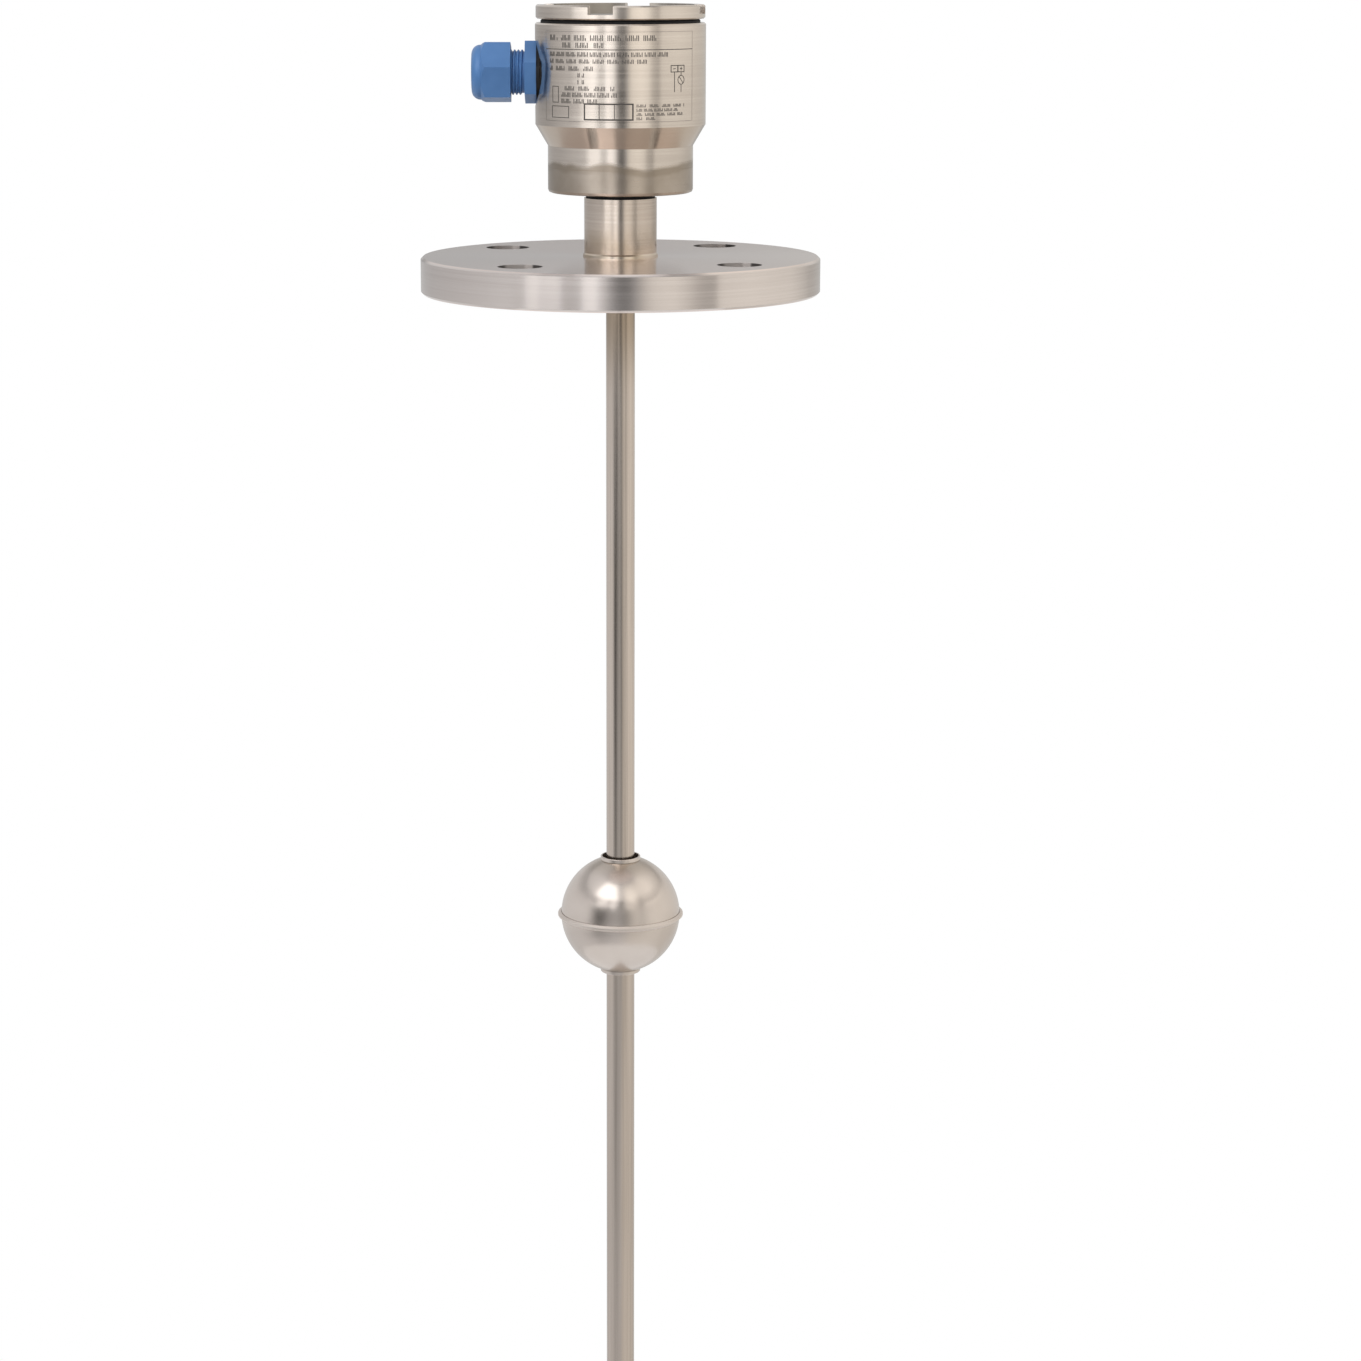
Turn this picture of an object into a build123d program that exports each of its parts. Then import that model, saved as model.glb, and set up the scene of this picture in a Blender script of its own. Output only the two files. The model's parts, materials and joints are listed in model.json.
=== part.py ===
from build123d import *
import os
from math import acos, cos, radians, sin, sqrt

# A reed level transmitter: a flanged guide tube with a sliding ball float, and a turned
# stainless head with a screw cover and a cable gland.
# Millimetres. The origin is the centre of the flange's sealing face, +Z runs up the guide
# tube to the head, the gland points to -X and the front is at -Y.

# Clearances
SEAT_GAP = 0.1          # round a piece that sits in a hole of its own body
TURN_GAP = 0.05         # between faces that turn on each other
THREAD_GAP = 0.15       # round a thread that screws in and out
CUT_PAST = 1.0          # how far a cutting tool runs past the face it opens

# Process flange
FLANGE_DIAMETER = 165.0
FLANGE_THICKNESS = 18.0
FLANGE_EDGE_CHAMFER = 1.0
RAISED_FACE_DIAMETER = 102.0
RAISED_FACE_HEIGHT = 3.0
BOLT_CIRCLE_DIAMETER = 125.0
BOLT_HOLE_DIAMETER = 18.0
BOLT_COUNT = 4
BOLT_START_ANGLE = 50.0
ROOT_WELD_SIZE = 3.0    # weld that closes the gap at the sealing face
ROOT_WELD_SETBACK = 0.2 # how far the weld stays back from the sealing face

# Guide tube
GUIDE_TUBE_DIAMETER = 12.0
GUIDE_TUBE_WALL = 1.0
GUIDE_TUBE_LENGTH = 800.0
GUIDE_TUBE_RISE = 10.0  # how far it stands up above the flange, inside the neck
END_CAP_THICKNESS = 3.0
END_CAP_CHAMFER = 0.8
END_SPIGOT_LENGTH = 7.0

# Stop collar near the lower end
COLLAR_DIAMETER = 22.0
COLLAR_HEIGHT = 10.0
COLLAR_CHAMFER = 0.8
COLLAR_HEIGHT_FROM_END = 10.0
SET_SCREW_DIAMETER = 4.0
SET_SCREW_SOCKET = 2.0
SET_SCREW_SOCKET_DEPTH = 1.6

# Ball float
FLOAT_DIAMETER = 50.8
FLOAT_WALL = 0.8
FLOAT_HEIGHT = 51.2     # over the lips of the inner tube
FLOAT_BORE = 15.6
FLOAT_TUBE_WALL = 0.5
FLOAT_LIP = 0.2         # how far each lip stands out from the inner tube
FLOAT_CENTRE = -263.6   # height of the seam at rest
FLOAT_HOLLOW_STEPS = 5   # straight steps of the hidden inner wall, from the seam to the tube
SEAM_STAND_OUT = 1.4
SEAM_HEIGHT = 2.4
SEAM_CREST_HEIGHT = 0.7
MAGNET_DIAMETER = 28.0
MAGNET_HEIGHT = 9.0
RETAINER_DIAMETER = 24.0
RETAINER_THICKNESS = 1.2

# Neck tube and its fixing in the head
NECK_DIAMETER = 29.9
NECK_HEIGHT = 24.0
NECK_BORE = 16.0
NECK_WELD_HEIGHT = 1.6
NECK_WELD_WIDTH = 0.6
NECK_THREAD_DIAMETER = 20.0
NECK_THREAD_SPARE = 1.5  # thread left above the lock nut
NECK_SEAL_THICKNESS = 2.3
NECK_SEAL_DIAMETER = 28.4
LOCK_NUT_FLATS = 30.0
LOCK_NUT_HEIGHT = 5.0

# Housing
HOUSING_DIAMETER = 69.8
HOUSING_HEIGHT = 68.6
HOUSING_EDGE_CHAMFER = 0.6
HOUSING_BASE_STEP = 5.1      # how much slimmer the base is, on the radius
HOUSING_BASE_HEIGHT = 19.1   # from the bottom to the start of the cone
HOUSING_CONE_HEIGHT = 8.6
HOUSING_BASE_CORNER = 1.3
HOUSING_WALL = 6.9
HOUSING_FLOOR = 8.0
LEDGE_HEIGHT = 22.0          # from the bottom to the ledge that carries the plate
LEDGE_WIDTH = 5.0
MOUTH_DEPTH = 11.0

# Screw cover and its O-ring
COVER_SETBACK = 0.3          # how far the cover stays inside the housing's side
COVER_STANDOFF = 1.6         # the black gap between housing and cover
COVER_HEIGHT = 5.6
COVER_EDGE_CHAMFER = 0.6
COVER_RIM_WIDTH = 4.6
COVER_RECESS_DEPTH = 4.1
COVER_SLOT_WIDTH = 10.4
COVER_SLOT_DEPTH = 3.6
COVER_SLOT_COUNT = 4
COVER_SLOT_ANGLE = -13.7
COVER_THREAD_STEP = 3.0      # thread radius less the radius of the housing's bore
COVER_SPIGOT_LENGTH = 11.0
COVER_SPIGOT_WALL = 4.0
COVER_PLATE_THICKNESS = 2.9
SEAL_GROOVE_DEPTH = 1.0
SEAL_SECTION = 2.5
SEAL_BULGE = 0.7             # height of the sloped part above and below its widest line

# Cable gland, with distances along its own axis
GLAND_HEIGHT = 48.55         # axis, above the housing's bottom
SPOT_FACE_DEPTH = 2.0
SPOT_FACE_DIAMETER = 27.0
GLAND_THREAD_DIAMETER = 16.0
GLAND_THREAD_PROTRUSION = 2.0
GLAND_GASKET_DIAMETER = 24.0
GLAND_GASKET_THICKNESS = 1.4
GLAND_FLATS = 22.5
GLAND_FLANGE_THICKNESS = 4.7
GLAND_FLANGE_ANGLE = 19.4
GLAND_NECK_THREAD = 18.3
GLAND_THREAD_DEPTH = 0.75
GLAND_NECK_LENGTH = 10.0
GLAND_FINGER_LENGTH = 3.4
GLAND_FINGER_DIAMETER = 15.0
GLAND_CABLE_BORE = 10.0
NUT_STANDOFF = 5.8           # thread showing between gland flange and nut
NUT_LENGTH = 16.0
NUT_HEX_LENGTH = 10.4
NUT_ANGLE = 11.0
NUT_THREAD_LENGTH = 9.5
NUT_END_WALL = 3.6
NUT_END_RADIUS = 3.6
NUT_SHOULDER = 1.7           # length of the cone from the hexagon to the dome
NUT_DOME_SETBACK = 0.15      # how far the dome stays inside the flats
NUT_CABLE_HOLE = 11.0
NUT_TIGHTENS = 3.0           # travel from rest to fully tightened
INSERT_DIAMETER = 13.0
INSERT_LENGTH = 8.15
INSERT_BORE = 8.0
INSERT_CUP_SPARE = 0.5       # left under the insert when the nut is tight

# Mounting plate and transmitter in the head
PLATE_THICKNESS = 1.5
PLATE_CENTRE_HOLE = 10.0
PLATE_SCREW_DIAMETER = 3.0
PLATE_SCREW_HEAD = 5.0
PLATE_SCREW_HEAD_HEIGHT = 1.8
PLATE_SCREW_BITE = 6.0
PLATE_SCREW_COUNT = 3        # the last place takes the earth screw
PLATE_SCREW_START_ANGLE = 30.0
EARTH_CLAMP_WIDTH = 4.8
EARTH_CLAMP_LENGTH = 7.0
EARTH_CLAMP_THICKNESS = 1.2
TRANSMITTER_MARGIN = 1.0     # between the module's side and the ledge bore
TRANSMITTER_HEIGHT = 18.0
TRANSMITTER_CHAMFER = 0.8
MODULE_SCREW_SETBACK = 5.5   # from the module's side to the screw's axis
MODULE_SCREW_DIAMETER = 4.0
MODULE_SCREW_HEAD = 7.0
MODULE_SCREW_HEAD_HEIGHT = 2.6
MODULE_COUNTERBORE_DEPTH = 4.0
MODULE_SCREW_PAST_PLATE = 2.0
TERMINAL_COUNT = 3
TERMINAL_PITCH = 7.0
TERMINAL_SETBACK = 10.0      # from the module's front to the middle of the row
TERMINAL_WIDTH = 6.0
TERMINAL_LENGTH = 8.0
TERMINAL_HEIGHT = 6.0
TERMINAL_SCREW_DIAMETER = 3.2
TERMINAL_SCREW_LENGTH = 4.0
TERMINAL_SCREW_SUNK = 0.6

# Reed chain in the guide tube
BOARD_THICKNESS = 1.0
BOARD_EDGE_GAP = 0.25        # from the board's long edges to the tube
REED_PITCH = 20.0
REED_LENGTH = 14.0
REED_DIAMETER = 2.2
REED_SIDES = 8
REED_START_GAP = 6.0
RESISTOR_LENGTH = 3.2
RESISTOR_WIDTH = 1.6
RESISTOR_THICKNESS = 0.6
LEAD_DIAMETER = 1.0
LEAD_COUNT = 3
LEAD_SPACING = 2.5

# Places that follow from the sizes
TUBE_RADIUS = GUIDE_TUBE_DIAMETER / 2
TUBE_INNER_RADIUS = TUBE_RADIUS - GUIDE_TUBE_WALL
TUBE_TOP = FLANGE_THICKNESS + GUIDE_TUBE_RISE
TUBE_END = -GUIDE_TUBE_LENGTH
TUBE_BOTTOM = TUBE_END + END_CAP_THICKNESS
BOARD_BOTTOM = TUBE_BOTTOM + END_SPIGOT_LENGTH
BOARD_TOP = TUBE_TOP - BOARD_THICKNESS
NECK_TOP = FLANGE_THICKNESS + NECK_HEIGHT
NECK_THREAD_RADIUS = NECK_THREAD_DIAMETER / 2
HOUSING_BOTTOM = NECK_TOP + NECK_SEAL_THICKNESS
HOUSING_TOP = HOUSING_BOTTOM + HOUSING_HEIGHT
HOUSING_RADIUS = HOUSING_DIAMETER / 2
FLOOR_TOP = HOUSING_BOTTOM + HOUSING_FLOOR
LEDGE_TOP = HOUSING_BOTTOM + LEDGE_HEIGHT
UPPER_BORE_RADIUS = HOUSING_RADIUS - HOUSING_WALL
LEDGE_BORE_RADIUS = UPPER_BORE_RADIUS - LEDGE_WIDTH
LOCK_NUT_TOP = FLOOR_TOP + LOCK_NUT_HEIGHT
COVER_UNDERSIDE = HOUSING_TOP + COVER_STANDOFF
COVER_TOP = COVER_UNDERSIDE + COVER_HEIGHT
COVER_THREAD_RADIUS = UPPER_BORE_RADIUS + COVER_THREAD_STEP
MOUTH_RADIUS = COVER_THREAD_RADIUS + THREAD_GAP
SEAL_FLOOR = COVER_UNDERSIDE - SEAL_SECTION - 2 * TURN_GAP
SEAL_GROOVE_RADIUS = COVER_THREAD_RADIUS - SEAL_GROOVE_DEPTH
SEAL_SEAT_RADIUS = SEAL_GROOVE_RADIUS + SEAL_SECTION + 2 * SEAT_GAP
GLAND_AXIS = HOUSING_BOTTOM + GLAND_HEIGHT
SPOT_FACE = HOUSING_RADIUS - SPOT_FACE_DEPTH
GLAND_FLANGE_START = SPOT_FACE + GLAND_GASKET_THICKNESS
GLAND_FLANGE_END = GLAND_FLANGE_START + GLAND_FLANGE_THICKNESS
GLAND_THREAD_START = UPPER_BORE_RADIUS - GLAND_THREAD_PROTRUSION
GLAND_NECK_END = GLAND_FLANGE_END + GLAND_NECK_LENGTH
GLAND_FINGER_END = GLAND_NECK_END + GLAND_FINGER_LENGTH
NUT_START = GLAND_FLANGE_END + NUT_STANDOFF
INSERT_END = NUT_START + NUT_LENGTH - NUT_END_WALL - TURN_GAP
INSERT_START = INSERT_END - INSERT_LENGTH
INSERT_CUP_FLOOR = INSERT_START - NUT_TIGHTENS - INSERT_CUP_SPARE
PLATE_TOP = LEDGE_TOP + PLATE_THICKNESS
PLATE_SCREW_CIRCLE = (LEDGE_BORE_RADIUS + UPPER_BORE_RADIUS) / 2 - SEAT_GAP
TRANSMITTER_RADIUS = LEDGE_BORE_RADIUS - TRANSMITTER_MARGIN
MODULE_SCREW_DISTANCE = TRANSMITTER_RADIUS - MODULE_SCREW_SETBACK
TERMINAL_ROW_DISTANCE = TRANSMITTER_RADIUS - TERMINAL_SETBACK
TRANSMITTER_TOP = PLATE_TOP + TRANSMITTER_HEIGHT
TERMINAL_TOP = TRANSMITTER_TOP + TERMINAL_HEIGHT
FLOAT_RADIUS = FLOAT_DIAMETER / 2
FLOAT_TUBE_RADIUS = FLOAT_BORE / 2 + FLOAT_TUBE_WALL


def outline(points):
    """A face in the XZ plane inside a closed outline of (radius, height) points."""
    return Plane.XZ * make_face(Polyline(*points, close=True))


def turned(points):
    """What a lathe makes of that outline, about the Z axis."""
    return revolve(outline(points), Axis.Z)


def tube(radius, bore_radius, bottom, top):
    """A plain ring or tube about the Z axis."""
    return turned([
        (bore_radius, bottom),
        (radius, bottom),
        (radius, top),
        (bore_radius, top),
    ])


def rod(radius, bottom, top, x=0.0, y=0.0):
    """A plain upright cylinder."""
    return Pos(x, y, (bottom + top) / 2) * Cylinder(radius, top - bottom)


def hexagon(flats, bottom, top, angle=0.0):
    """A hexagon bar about the Z axis, with one corner at the given angle."""
    section = RegularPolygon(flats / 2, 6, major_radius=False, rotation=angle)
    return Pos(0, 0, bottom) * extrude(section, top - bottom)


def round_places(radius, count, start_angle):
    """The (x, y) places of equal steps round a circle."""
    steps = [radians(start_angle + 360 * i / count) for i in range(count)]
    return [(radius * cos(a), radius * sin(a)) for a in steps]


def along_gland(solid):
    """Turns a solid made about Z so that its Z runs out along the cable gland."""
    gland_plane = Plane(origin=(0, 0, GLAND_AXIS), x_dir=(0, -1, 0), z_dir=(-1, 0, 0))
    return gland_plane * solid


def headed_screw(radius, length, head_radius, head_height, seat, x, y):
    """A cheese head screw whose head sits on the given height."""
    shank = rod(radius, seat - length, seat, x, y)
    return shank + rod(head_radius, seat, seat + head_height, x, y)


# Flange, guide tube and stop collar

def make_flange():
    rim = FLANGE_DIAMETER / 2
    face = RAISED_FACE_DIAMETER / 2
    bore = TUBE_RADIUS + SEAT_GAP
    disc = turned([
        (bore + ROOT_WELD_SIZE, 0),
        (face, 0),
        (face, RAISED_FACE_HEIGHT),
        (rim - FLANGE_EDGE_CHAMFER, RAISED_FACE_HEIGHT),
        (rim, RAISED_FACE_HEIGHT + FLANGE_EDGE_CHAMFER),
        (rim, FLANGE_THICKNESS - FLANGE_EDGE_CHAMFER),
        (rim - FLANGE_EDGE_CHAMFER, FLANGE_THICKNESS),
        (bore, FLANGE_THICKNESS),
        (bore, ROOT_WELD_SIZE),
    ])
    for x, y in round_places(BOLT_CIRCLE_DIAMETER / 2, BOLT_COUNT, BOLT_START_ANGLE):
        disc -= rod(BOLT_HOLE_DIAMETER / 2, -CUT_PAST, FLANGE_THICKNESS + CUT_PAST, x, y)
    return disc


def make_guide_tube():
    # The root weld is run into the tube and stays just clear of the countersink around it.
    weld_foot = TUBE_RADIUS + ROOT_WELD_SIZE - ROOT_WELD_SETBACK
    return turned([
        (TUBE_INNER_RADIUS, TUBE_BOTTOM),
        (TUBE_RADIUS, TUBE_BOTTOM),
        (TUBE_RADIUS, ROOT_WELD_SETBACK),
        (weld_foot, ROOT_WELD_SETBACK),
        (TUBE_RADIUS, ROOT_WELD_SIZE),
        (TUBE_RADIUS, TUBE_TOP),
        (TUBE_INNER_RADIUS, TUBE_TOP),
    ])


def make_tube_end_plug():
    spigot = TUBE_INNER_RADIUS - SEAT_GAP
    return turned([
        (0, TUBE_END),
        (TUBE_RADIUS - END_CAP_CHAMFER, TUBE_END),
        (TUBE_RADIUS, TUBE_END + END_CAP_CHAMFER),
        (TUBE_RADIUS, TUBE_BOTTOM),
        (spigot, TUBE_BOTTOM),
        (spigot, BOARD_BOTTOM),
        (0, BOARD_BOTTOM),
    ])


COLLAR_BOTTOM = TUBE_END + COLLAR_HEIGHT_FROM_END
COLLAR_TOP = COLLAR_BOTTOM + COLLAR_HEIGHT
COLLAR_MIDDLE = (COLLAR_BOTTOM + COLLAR_TOP) / 2


def front_rod(radius, near, far, height):
    """A cylinder towards the front, between two distances from the Z axis."""
    return Pos(0, -(near + far) / 2, height) * Rot(90, 0, 0) * Cylinder(radius, far - near)


def make_stop_collar():
    outer = COLLAR_DIAMETER / 2
    bore = TUBE_RADIUS + SEAT_GAP
    ring = turned([
        (bore, COLLAR_BOTTOM),
        (outer - COLLAR_CHAMFER, COLLAR_BOTTOM),
        (outer, COLLAR_BOTTOM + COLLAR_CHAMFER),
        (outer, COLLAR_TOP - COLLAR_CHAMFER),
        (outer - COLLAR_CHAMFER, COLLAR_TOP),
        (bore, COLLAR_TOP),
    ])
    hole = front_rod(SET_SCREW_DIAMETER / 2 + SEAT_GAP, TUBE_RADIUS, outer + CUT_PAST, COLLAR_MIDDLE)
    return ring - hole


def make_stop_collar_screw():
    outer = COLLAR_DIAMETER / 2
    end = outer - 2 * SEAT_GAP
    screw = front_rod(SET_SCREW_DIAMETER / 2, TUBE_RADIUS + SEAT_GAP, end, COLLAR_MIDDLE)
    socket = extrude(
        RegularPolygon(SET_SCREW_SOCKET / 2, 6, major_radius=False),
        SET_SCREW_SOCKET_DEPTH,
    )
    front = Plane(origin=(0, -end, COLLAR_MIDDLE), x_dir=(1, 0, 0), z_dir=(0, 1, 0))
    return screw - front * socket


# Float

def float_shell(sign):
    """Half of the ball: sign is 1 for the upper half and -1 for the lower."""
    hole = FLOAT_TUBE_RADIUS + SEAT_GAP
    inside = FLOAT_RADIUS - FLOAT_WALL
    step = acos(hole / inside) / FLOAT_HOLLOW_STEPS
    wall = [(inside * cos(i * step), inside * sin(i * step)) for i in range(FLOAT_HOLLOW_STEPS + 1)]
    hollow = turned([(0, -CUT_PAST), (inside, -CUT_PAST), *wall, (hole, FLOAT_RADIUS), (0, FLOAT_RADIUS)])
    ball = Sphere(FLOAT_RADIUS) - Pos(0, 0, -FLOAT_DIAMETER) * Box(*[2 * FLOAT_DIAMETER] * 3)
    shell = ball - hollow
    return shell if sign > 0 else Rot(180, 0, 0) * shell


def make_float_upper_shell():
    return Pos(0, 0, FLOAT_CENTRE) * float_shell(1)


def make_float_lower_shell():
    # The seam bead is run on this half and laps over the edge of the upper one.
    crest = FLOAT_RADIUS + SEAM_STAND_OUT
    bead = turned([
        (FLOAT_RADIUS - FLOAT_WALL / 2, 0),
        (FLOAT_RADIUS - FLOAT_WALL / 2, -SEAM_HEIGHT / 2),
        (FLOAT_RADIUS + SEAM_STAND_OUT / 4, -SEAM_HEIGHT / 2),
        (crest, -SEAM_CREST_HEIGHT / 2),
        (crest, SEAM_CREST_HEIGHT / 2),
        (FLOAT_RADIUS + SEAM_STAND_OUT / 4, SEAM_HEIGHT / 2),
        (FLOAT_RADIUS + TURN_GAP, SEAM_HEIGHT / 2),
        (FLOAT_RADIUS + TURN_GAP, 0),
    ])
    return Pos(0, 0, FLOAT_CENTRE) * (float_shell(-1) + bead)


def make_float_inner_tube():
    end = FLOAT_HEIGHT / 2
    hole = FLOAT_TUBE_RADIUS + SEAT_GAP
    shell_edge = sqrt(FLOAT_RADIUS ** 2 - hole ** 2) + TURN_GAP
    lip = FLOAT_TUBE_RADIUS + FLOAT_LIP
    ease = min(FLOAT_LIP, (end - shell_edge) / 3)
    upper = [
        (FLOAT_TUBE_RADIUS, shell_edge),
        (lip, shell_edge),
        (lip, end - ease),
        (lip - ease, end),
        (FLOAT_BORE / 2, end),
    ]
    lower = [(radius, -height) for radius, height in reversed(upper)]
    return Pos(0, 0, FLOAT_CENTRE) * turned(upper + lower)


def make_float_magnet():
    half = MAGNET_HEIGHT / 2
    bore = FLOAT_TUBE_RADIUS + SEAT_GAP
    return tube(MAGNET_DIAMETER / 2, bore, FLOAT_CENTRE - half, FLOAT_CENTRE + half)


def make_magnet_retainers():
    rings = []
    for sign in (1, -1):
        inner = FLOAT_CENTRE + sign * MAGNET_HEIGHT / 2
        outer = inner + sign * RETAINER_THICKNESS
        bottom, top = sorted((inner, outer))
        rings.append(tube(RETAINER_DIAMETER / 2, FLOAT_TUBE_RADIUS + SEAT_GAP, bottom, top))
    return rings


# Neck

def make_neck_tube():
    radius = NECK_DIAMETER / 2
    thread_top = LOCK_NUT_TOP + NECK_THREAD_SPARE
    return turned([
        (NECK_BORE / 2, FLANGE_THICKNESS),
        (radius + NECK_WELD_WIDTH, FLANGE_THICKNESS),
        (radius + NECK_WELD_WIDTH * 0.8, FLANGE_THICKNESS + NECK_WELD_HEIGHT * 0.6),
        (radius, FLANGE_THICKNESS + NECK_WELD_HEIGHT),
        (radius, NECK_TOP),
        (NECK_THREAD_RADIUS, NECK_TOP),
        (NECK_THREAD_RADIUS, thread_top),
        (NECK_BORE / 2, thread_top),
    ])


def make_neck_seal():
    bore = NECK_THREAD_RADIUS + SEAT_GAP
    return tube(NECK_SEAL_DIAMETER / 2, bore, NECK_TOP, HOUSING_BOTTOM)


def make_neck_lock_nut():
    nut = hexagon(LOCK_NUT_FLATS, FLOOR_TOP, LOCK_NUT_TOP)
    return nut - rod(NECK_THREAD_RADIUS + SEAT_GAP, FLOOR_TOP - CUT_PAST, LOCK_NUT_TOP + CUT_PAST)


# Head housing and cover

def plate_screw_places():
    return round_places(PLATE_SCREW_CIRCLE, PLATE_SCREW_COUNT, PLATE_SCREW_START_ANGLE)


def make_housing():
    base = HOUSING_RADIUS - HOUSING_BASE_STEP
    cone_start = HOUSING_BOTTOM + HOUSING_BASE_HEIGHT
    hole = NECK_THREAD_RADIUS + SEAT_GAP
    shell = turned([
        (hole, HOUSING_BOTTOM),
        (base - HOUSING_BASE_CORNER, HOUSING_BOTTOM),
        (base - HOUSING_BASE_CORNER * 0.3, HOUSING_BOTTOM + HOUSING_BASE_CORNER * 0.3),
        (base, HOUSING_BOTTOM + HOUSING_BASE_CORNER),
        (base, cone_start),
        (HOUSING_RADIUS, cone_start + HOUSING_CONE_HEIGHT),
        (HOUSING_RADIUS, HOUSING_TOP - HOUSING_EDGE_CHAMFER),
        (HOUSING_RADIUS - HOUSING_EDGE_CHAMFER, HOUSING_TOP),
        (SEAL_SEAT_RADIUS, HOUSING_TOP),
        (SEAL_SEAT_RADIUS, SEAL_FLOOR),
        (MOUTH_RADIUS, SEAL_FLOOR),
        (MOUTH_RADIUS, HOUSING_TOP - MOUTH_DEPTH),
        (UPPER_BORE_RADIUS, HOUSING_TOP - MOUTH_DEPTH),
        (UPPER_BORE_RADIUS, LEDGE_TOP),
        (LEDGE_BORE_RADIUS, LEDGE_TOP),
        (LEDGE_BORE_RADIUS, FLOOR_TOP),
        (hole, FLOOR_TOP),
    ])
    shell -= along_gland(rod(SPOT_FACE_DIAMETER / 2, SPOT_FACE, HOUSING_RADIUS + CUT_PAST))
    thread_hole = GLAND_THREAD_DIAMETER / 2 + SEAT_GAP
    shell -= along_gland(rod(thread_hole, LEDGE_BORE_RADIUS, HOUSING_RADIUS))
    for x, y in plate_screw_places():
        tapped = PLATE_SCREW_DIAMETER / 2 + SEAT_GAP
        shell -= rod(tapped, LEDGE_TOP - PLATE_SCREW_BITE - CUT_PAST, LEDGE_TOP + CUT_PAST, x, y)
    return shell


def make_cover():
    outer = HOUSING_RADIUS - COVER_SETBACK
    recess_floor = COVER_TOP - COVER_RECESS_DEPTH
    spigot_end = COVER_UNDERSIDE - COVER_SPIGOT_LENGTH
    spigot_bore = COVER_THREAD_RADIUS - COVER_SPIGOT_WALL
    cover = turned([
        (0, recess_floor),
        (outer - COVER_RIM_WIDTH, recess_floor),
        (outer - COVER_RIM_WIDTH, COVER_TOP),
        (outer - COVER_EDGE_CHAMFER, COVER_TOP),
        (outer, COVER_TOP - COVER_EDGE_CHAMFER),
        (outer, COVER_UNDERSIDE + COVER_EDGE_CHAMFER),
        (outer - COVER_EDGE_CHAMFER, COVER_UNDERSIDE),
        (SEAL_GROOVE_RADIUS, COVER_UNDERSIDE),
        (SEAL_GROOVE_RADIUS, SEAL_FLOOR),
        (COVER_THREAD_RADIUS, SEAL_FLOOR),
        (COVER_THREAD_RADIUS, spigot_end),
        (spigot_bore, spigot_end),
        (spigot_bore, recess_floor - COVER_PLATE_THICKNESS),
        (0, recess_floor - COVER_PLATE_THICKNESS),
    ])
    slot_middle = outer - COVER_RIM_WIDTH / 2
    for x, y in round_places(slot_middle, COVER_SLOT_COUNT, COVER_SLOT_ANGLE):
        slot = Box(COVER_RIM_WIDTH * 2, COVER_SLOT_WIDTH, COVER_SLOT_DEPTH * 2)
        turn = Vector(1, 0, 0).get_signed_angle(Vector(x, y, 0), Vector(0, 0, 1))
        cover -= Pos(x, y, COVER_TOP) * Rot(0, 0, turn) * slot
    return cover


def make_cover_o_ring():
    inner = SEAL_GROOVE_RADIUS + SEAT_GAP
    outer = inner + SEAL_SECTION
    bottom = SEAL_FLOOR + TURN_GAP
    top = bottom + SEAL_SECTION
    return turned([
        (inner, bottom),
        (outer - SEAL_BULGE, bottom),
        (outer, bottom + SEAL_BULGE),
        (outer, top - SEAL_BULGE),
        (outer - SEAL_BULGE, top),
        (inner, top),
    ])


# Cable gland

def make_gland_gasket():
    bore = GLAND_THREAD_DIAMETER / 2 + SEAT_GAP
    return along_gland(tube(GLAND_GASKET_DIAMETER / 2, bore, SPOT_FACE, GLAND_FLANGE_START))


def make_gland_body():
    root = GLAND_NECK_THREAD / 2 - GLAND_THREAD_DEPTH
    cup = INSERT_DIAMETER / 2 + SEAT_GAP
    finger = GLAND_FINGER_DIAMETER / 2
    core = turned([
        (GLAND_CABLE_BORE / 2, GLAND_THREAD_START),
        (GLAND_THREAD_DIAMETER / 2, GLAND_THREAD_START),
        (GLAND_THREAD_DIAMETER / 2, GLAND_FLANGE_START),
        (root, GLAND_FLANGE_START),
        (root, GLAND_NECK_END),
        (finger, GLAND_NECK_END),
        (finger, GLAND_FINGER_END),
        (cup, GLAND_FINGER_END),
        (cup, INSERT_CUP_FLOOR),
        (GLAND_CABLE_BORE / 2, INSERT_CUP_FLOOR),
    ])
    bar = hexagon(GLAND_FLATS, GLAND_FLANGE_START, GLAND_FLANGE_END, GLAND_FLANGE_ANGLE)
    bar -= rod(root - CUT_PAST, GLAND_FLANGE_START - CUT_PAST, GLAND_FLANGE_END + CUT_PAST)
    return along_gland(core + bar)


def make_gland_insert():
    return along_gland(tube(INSERT_DIAMETER / 2, INSERT_BORE / 2, INSERT_START, INSERT_END))


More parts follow.
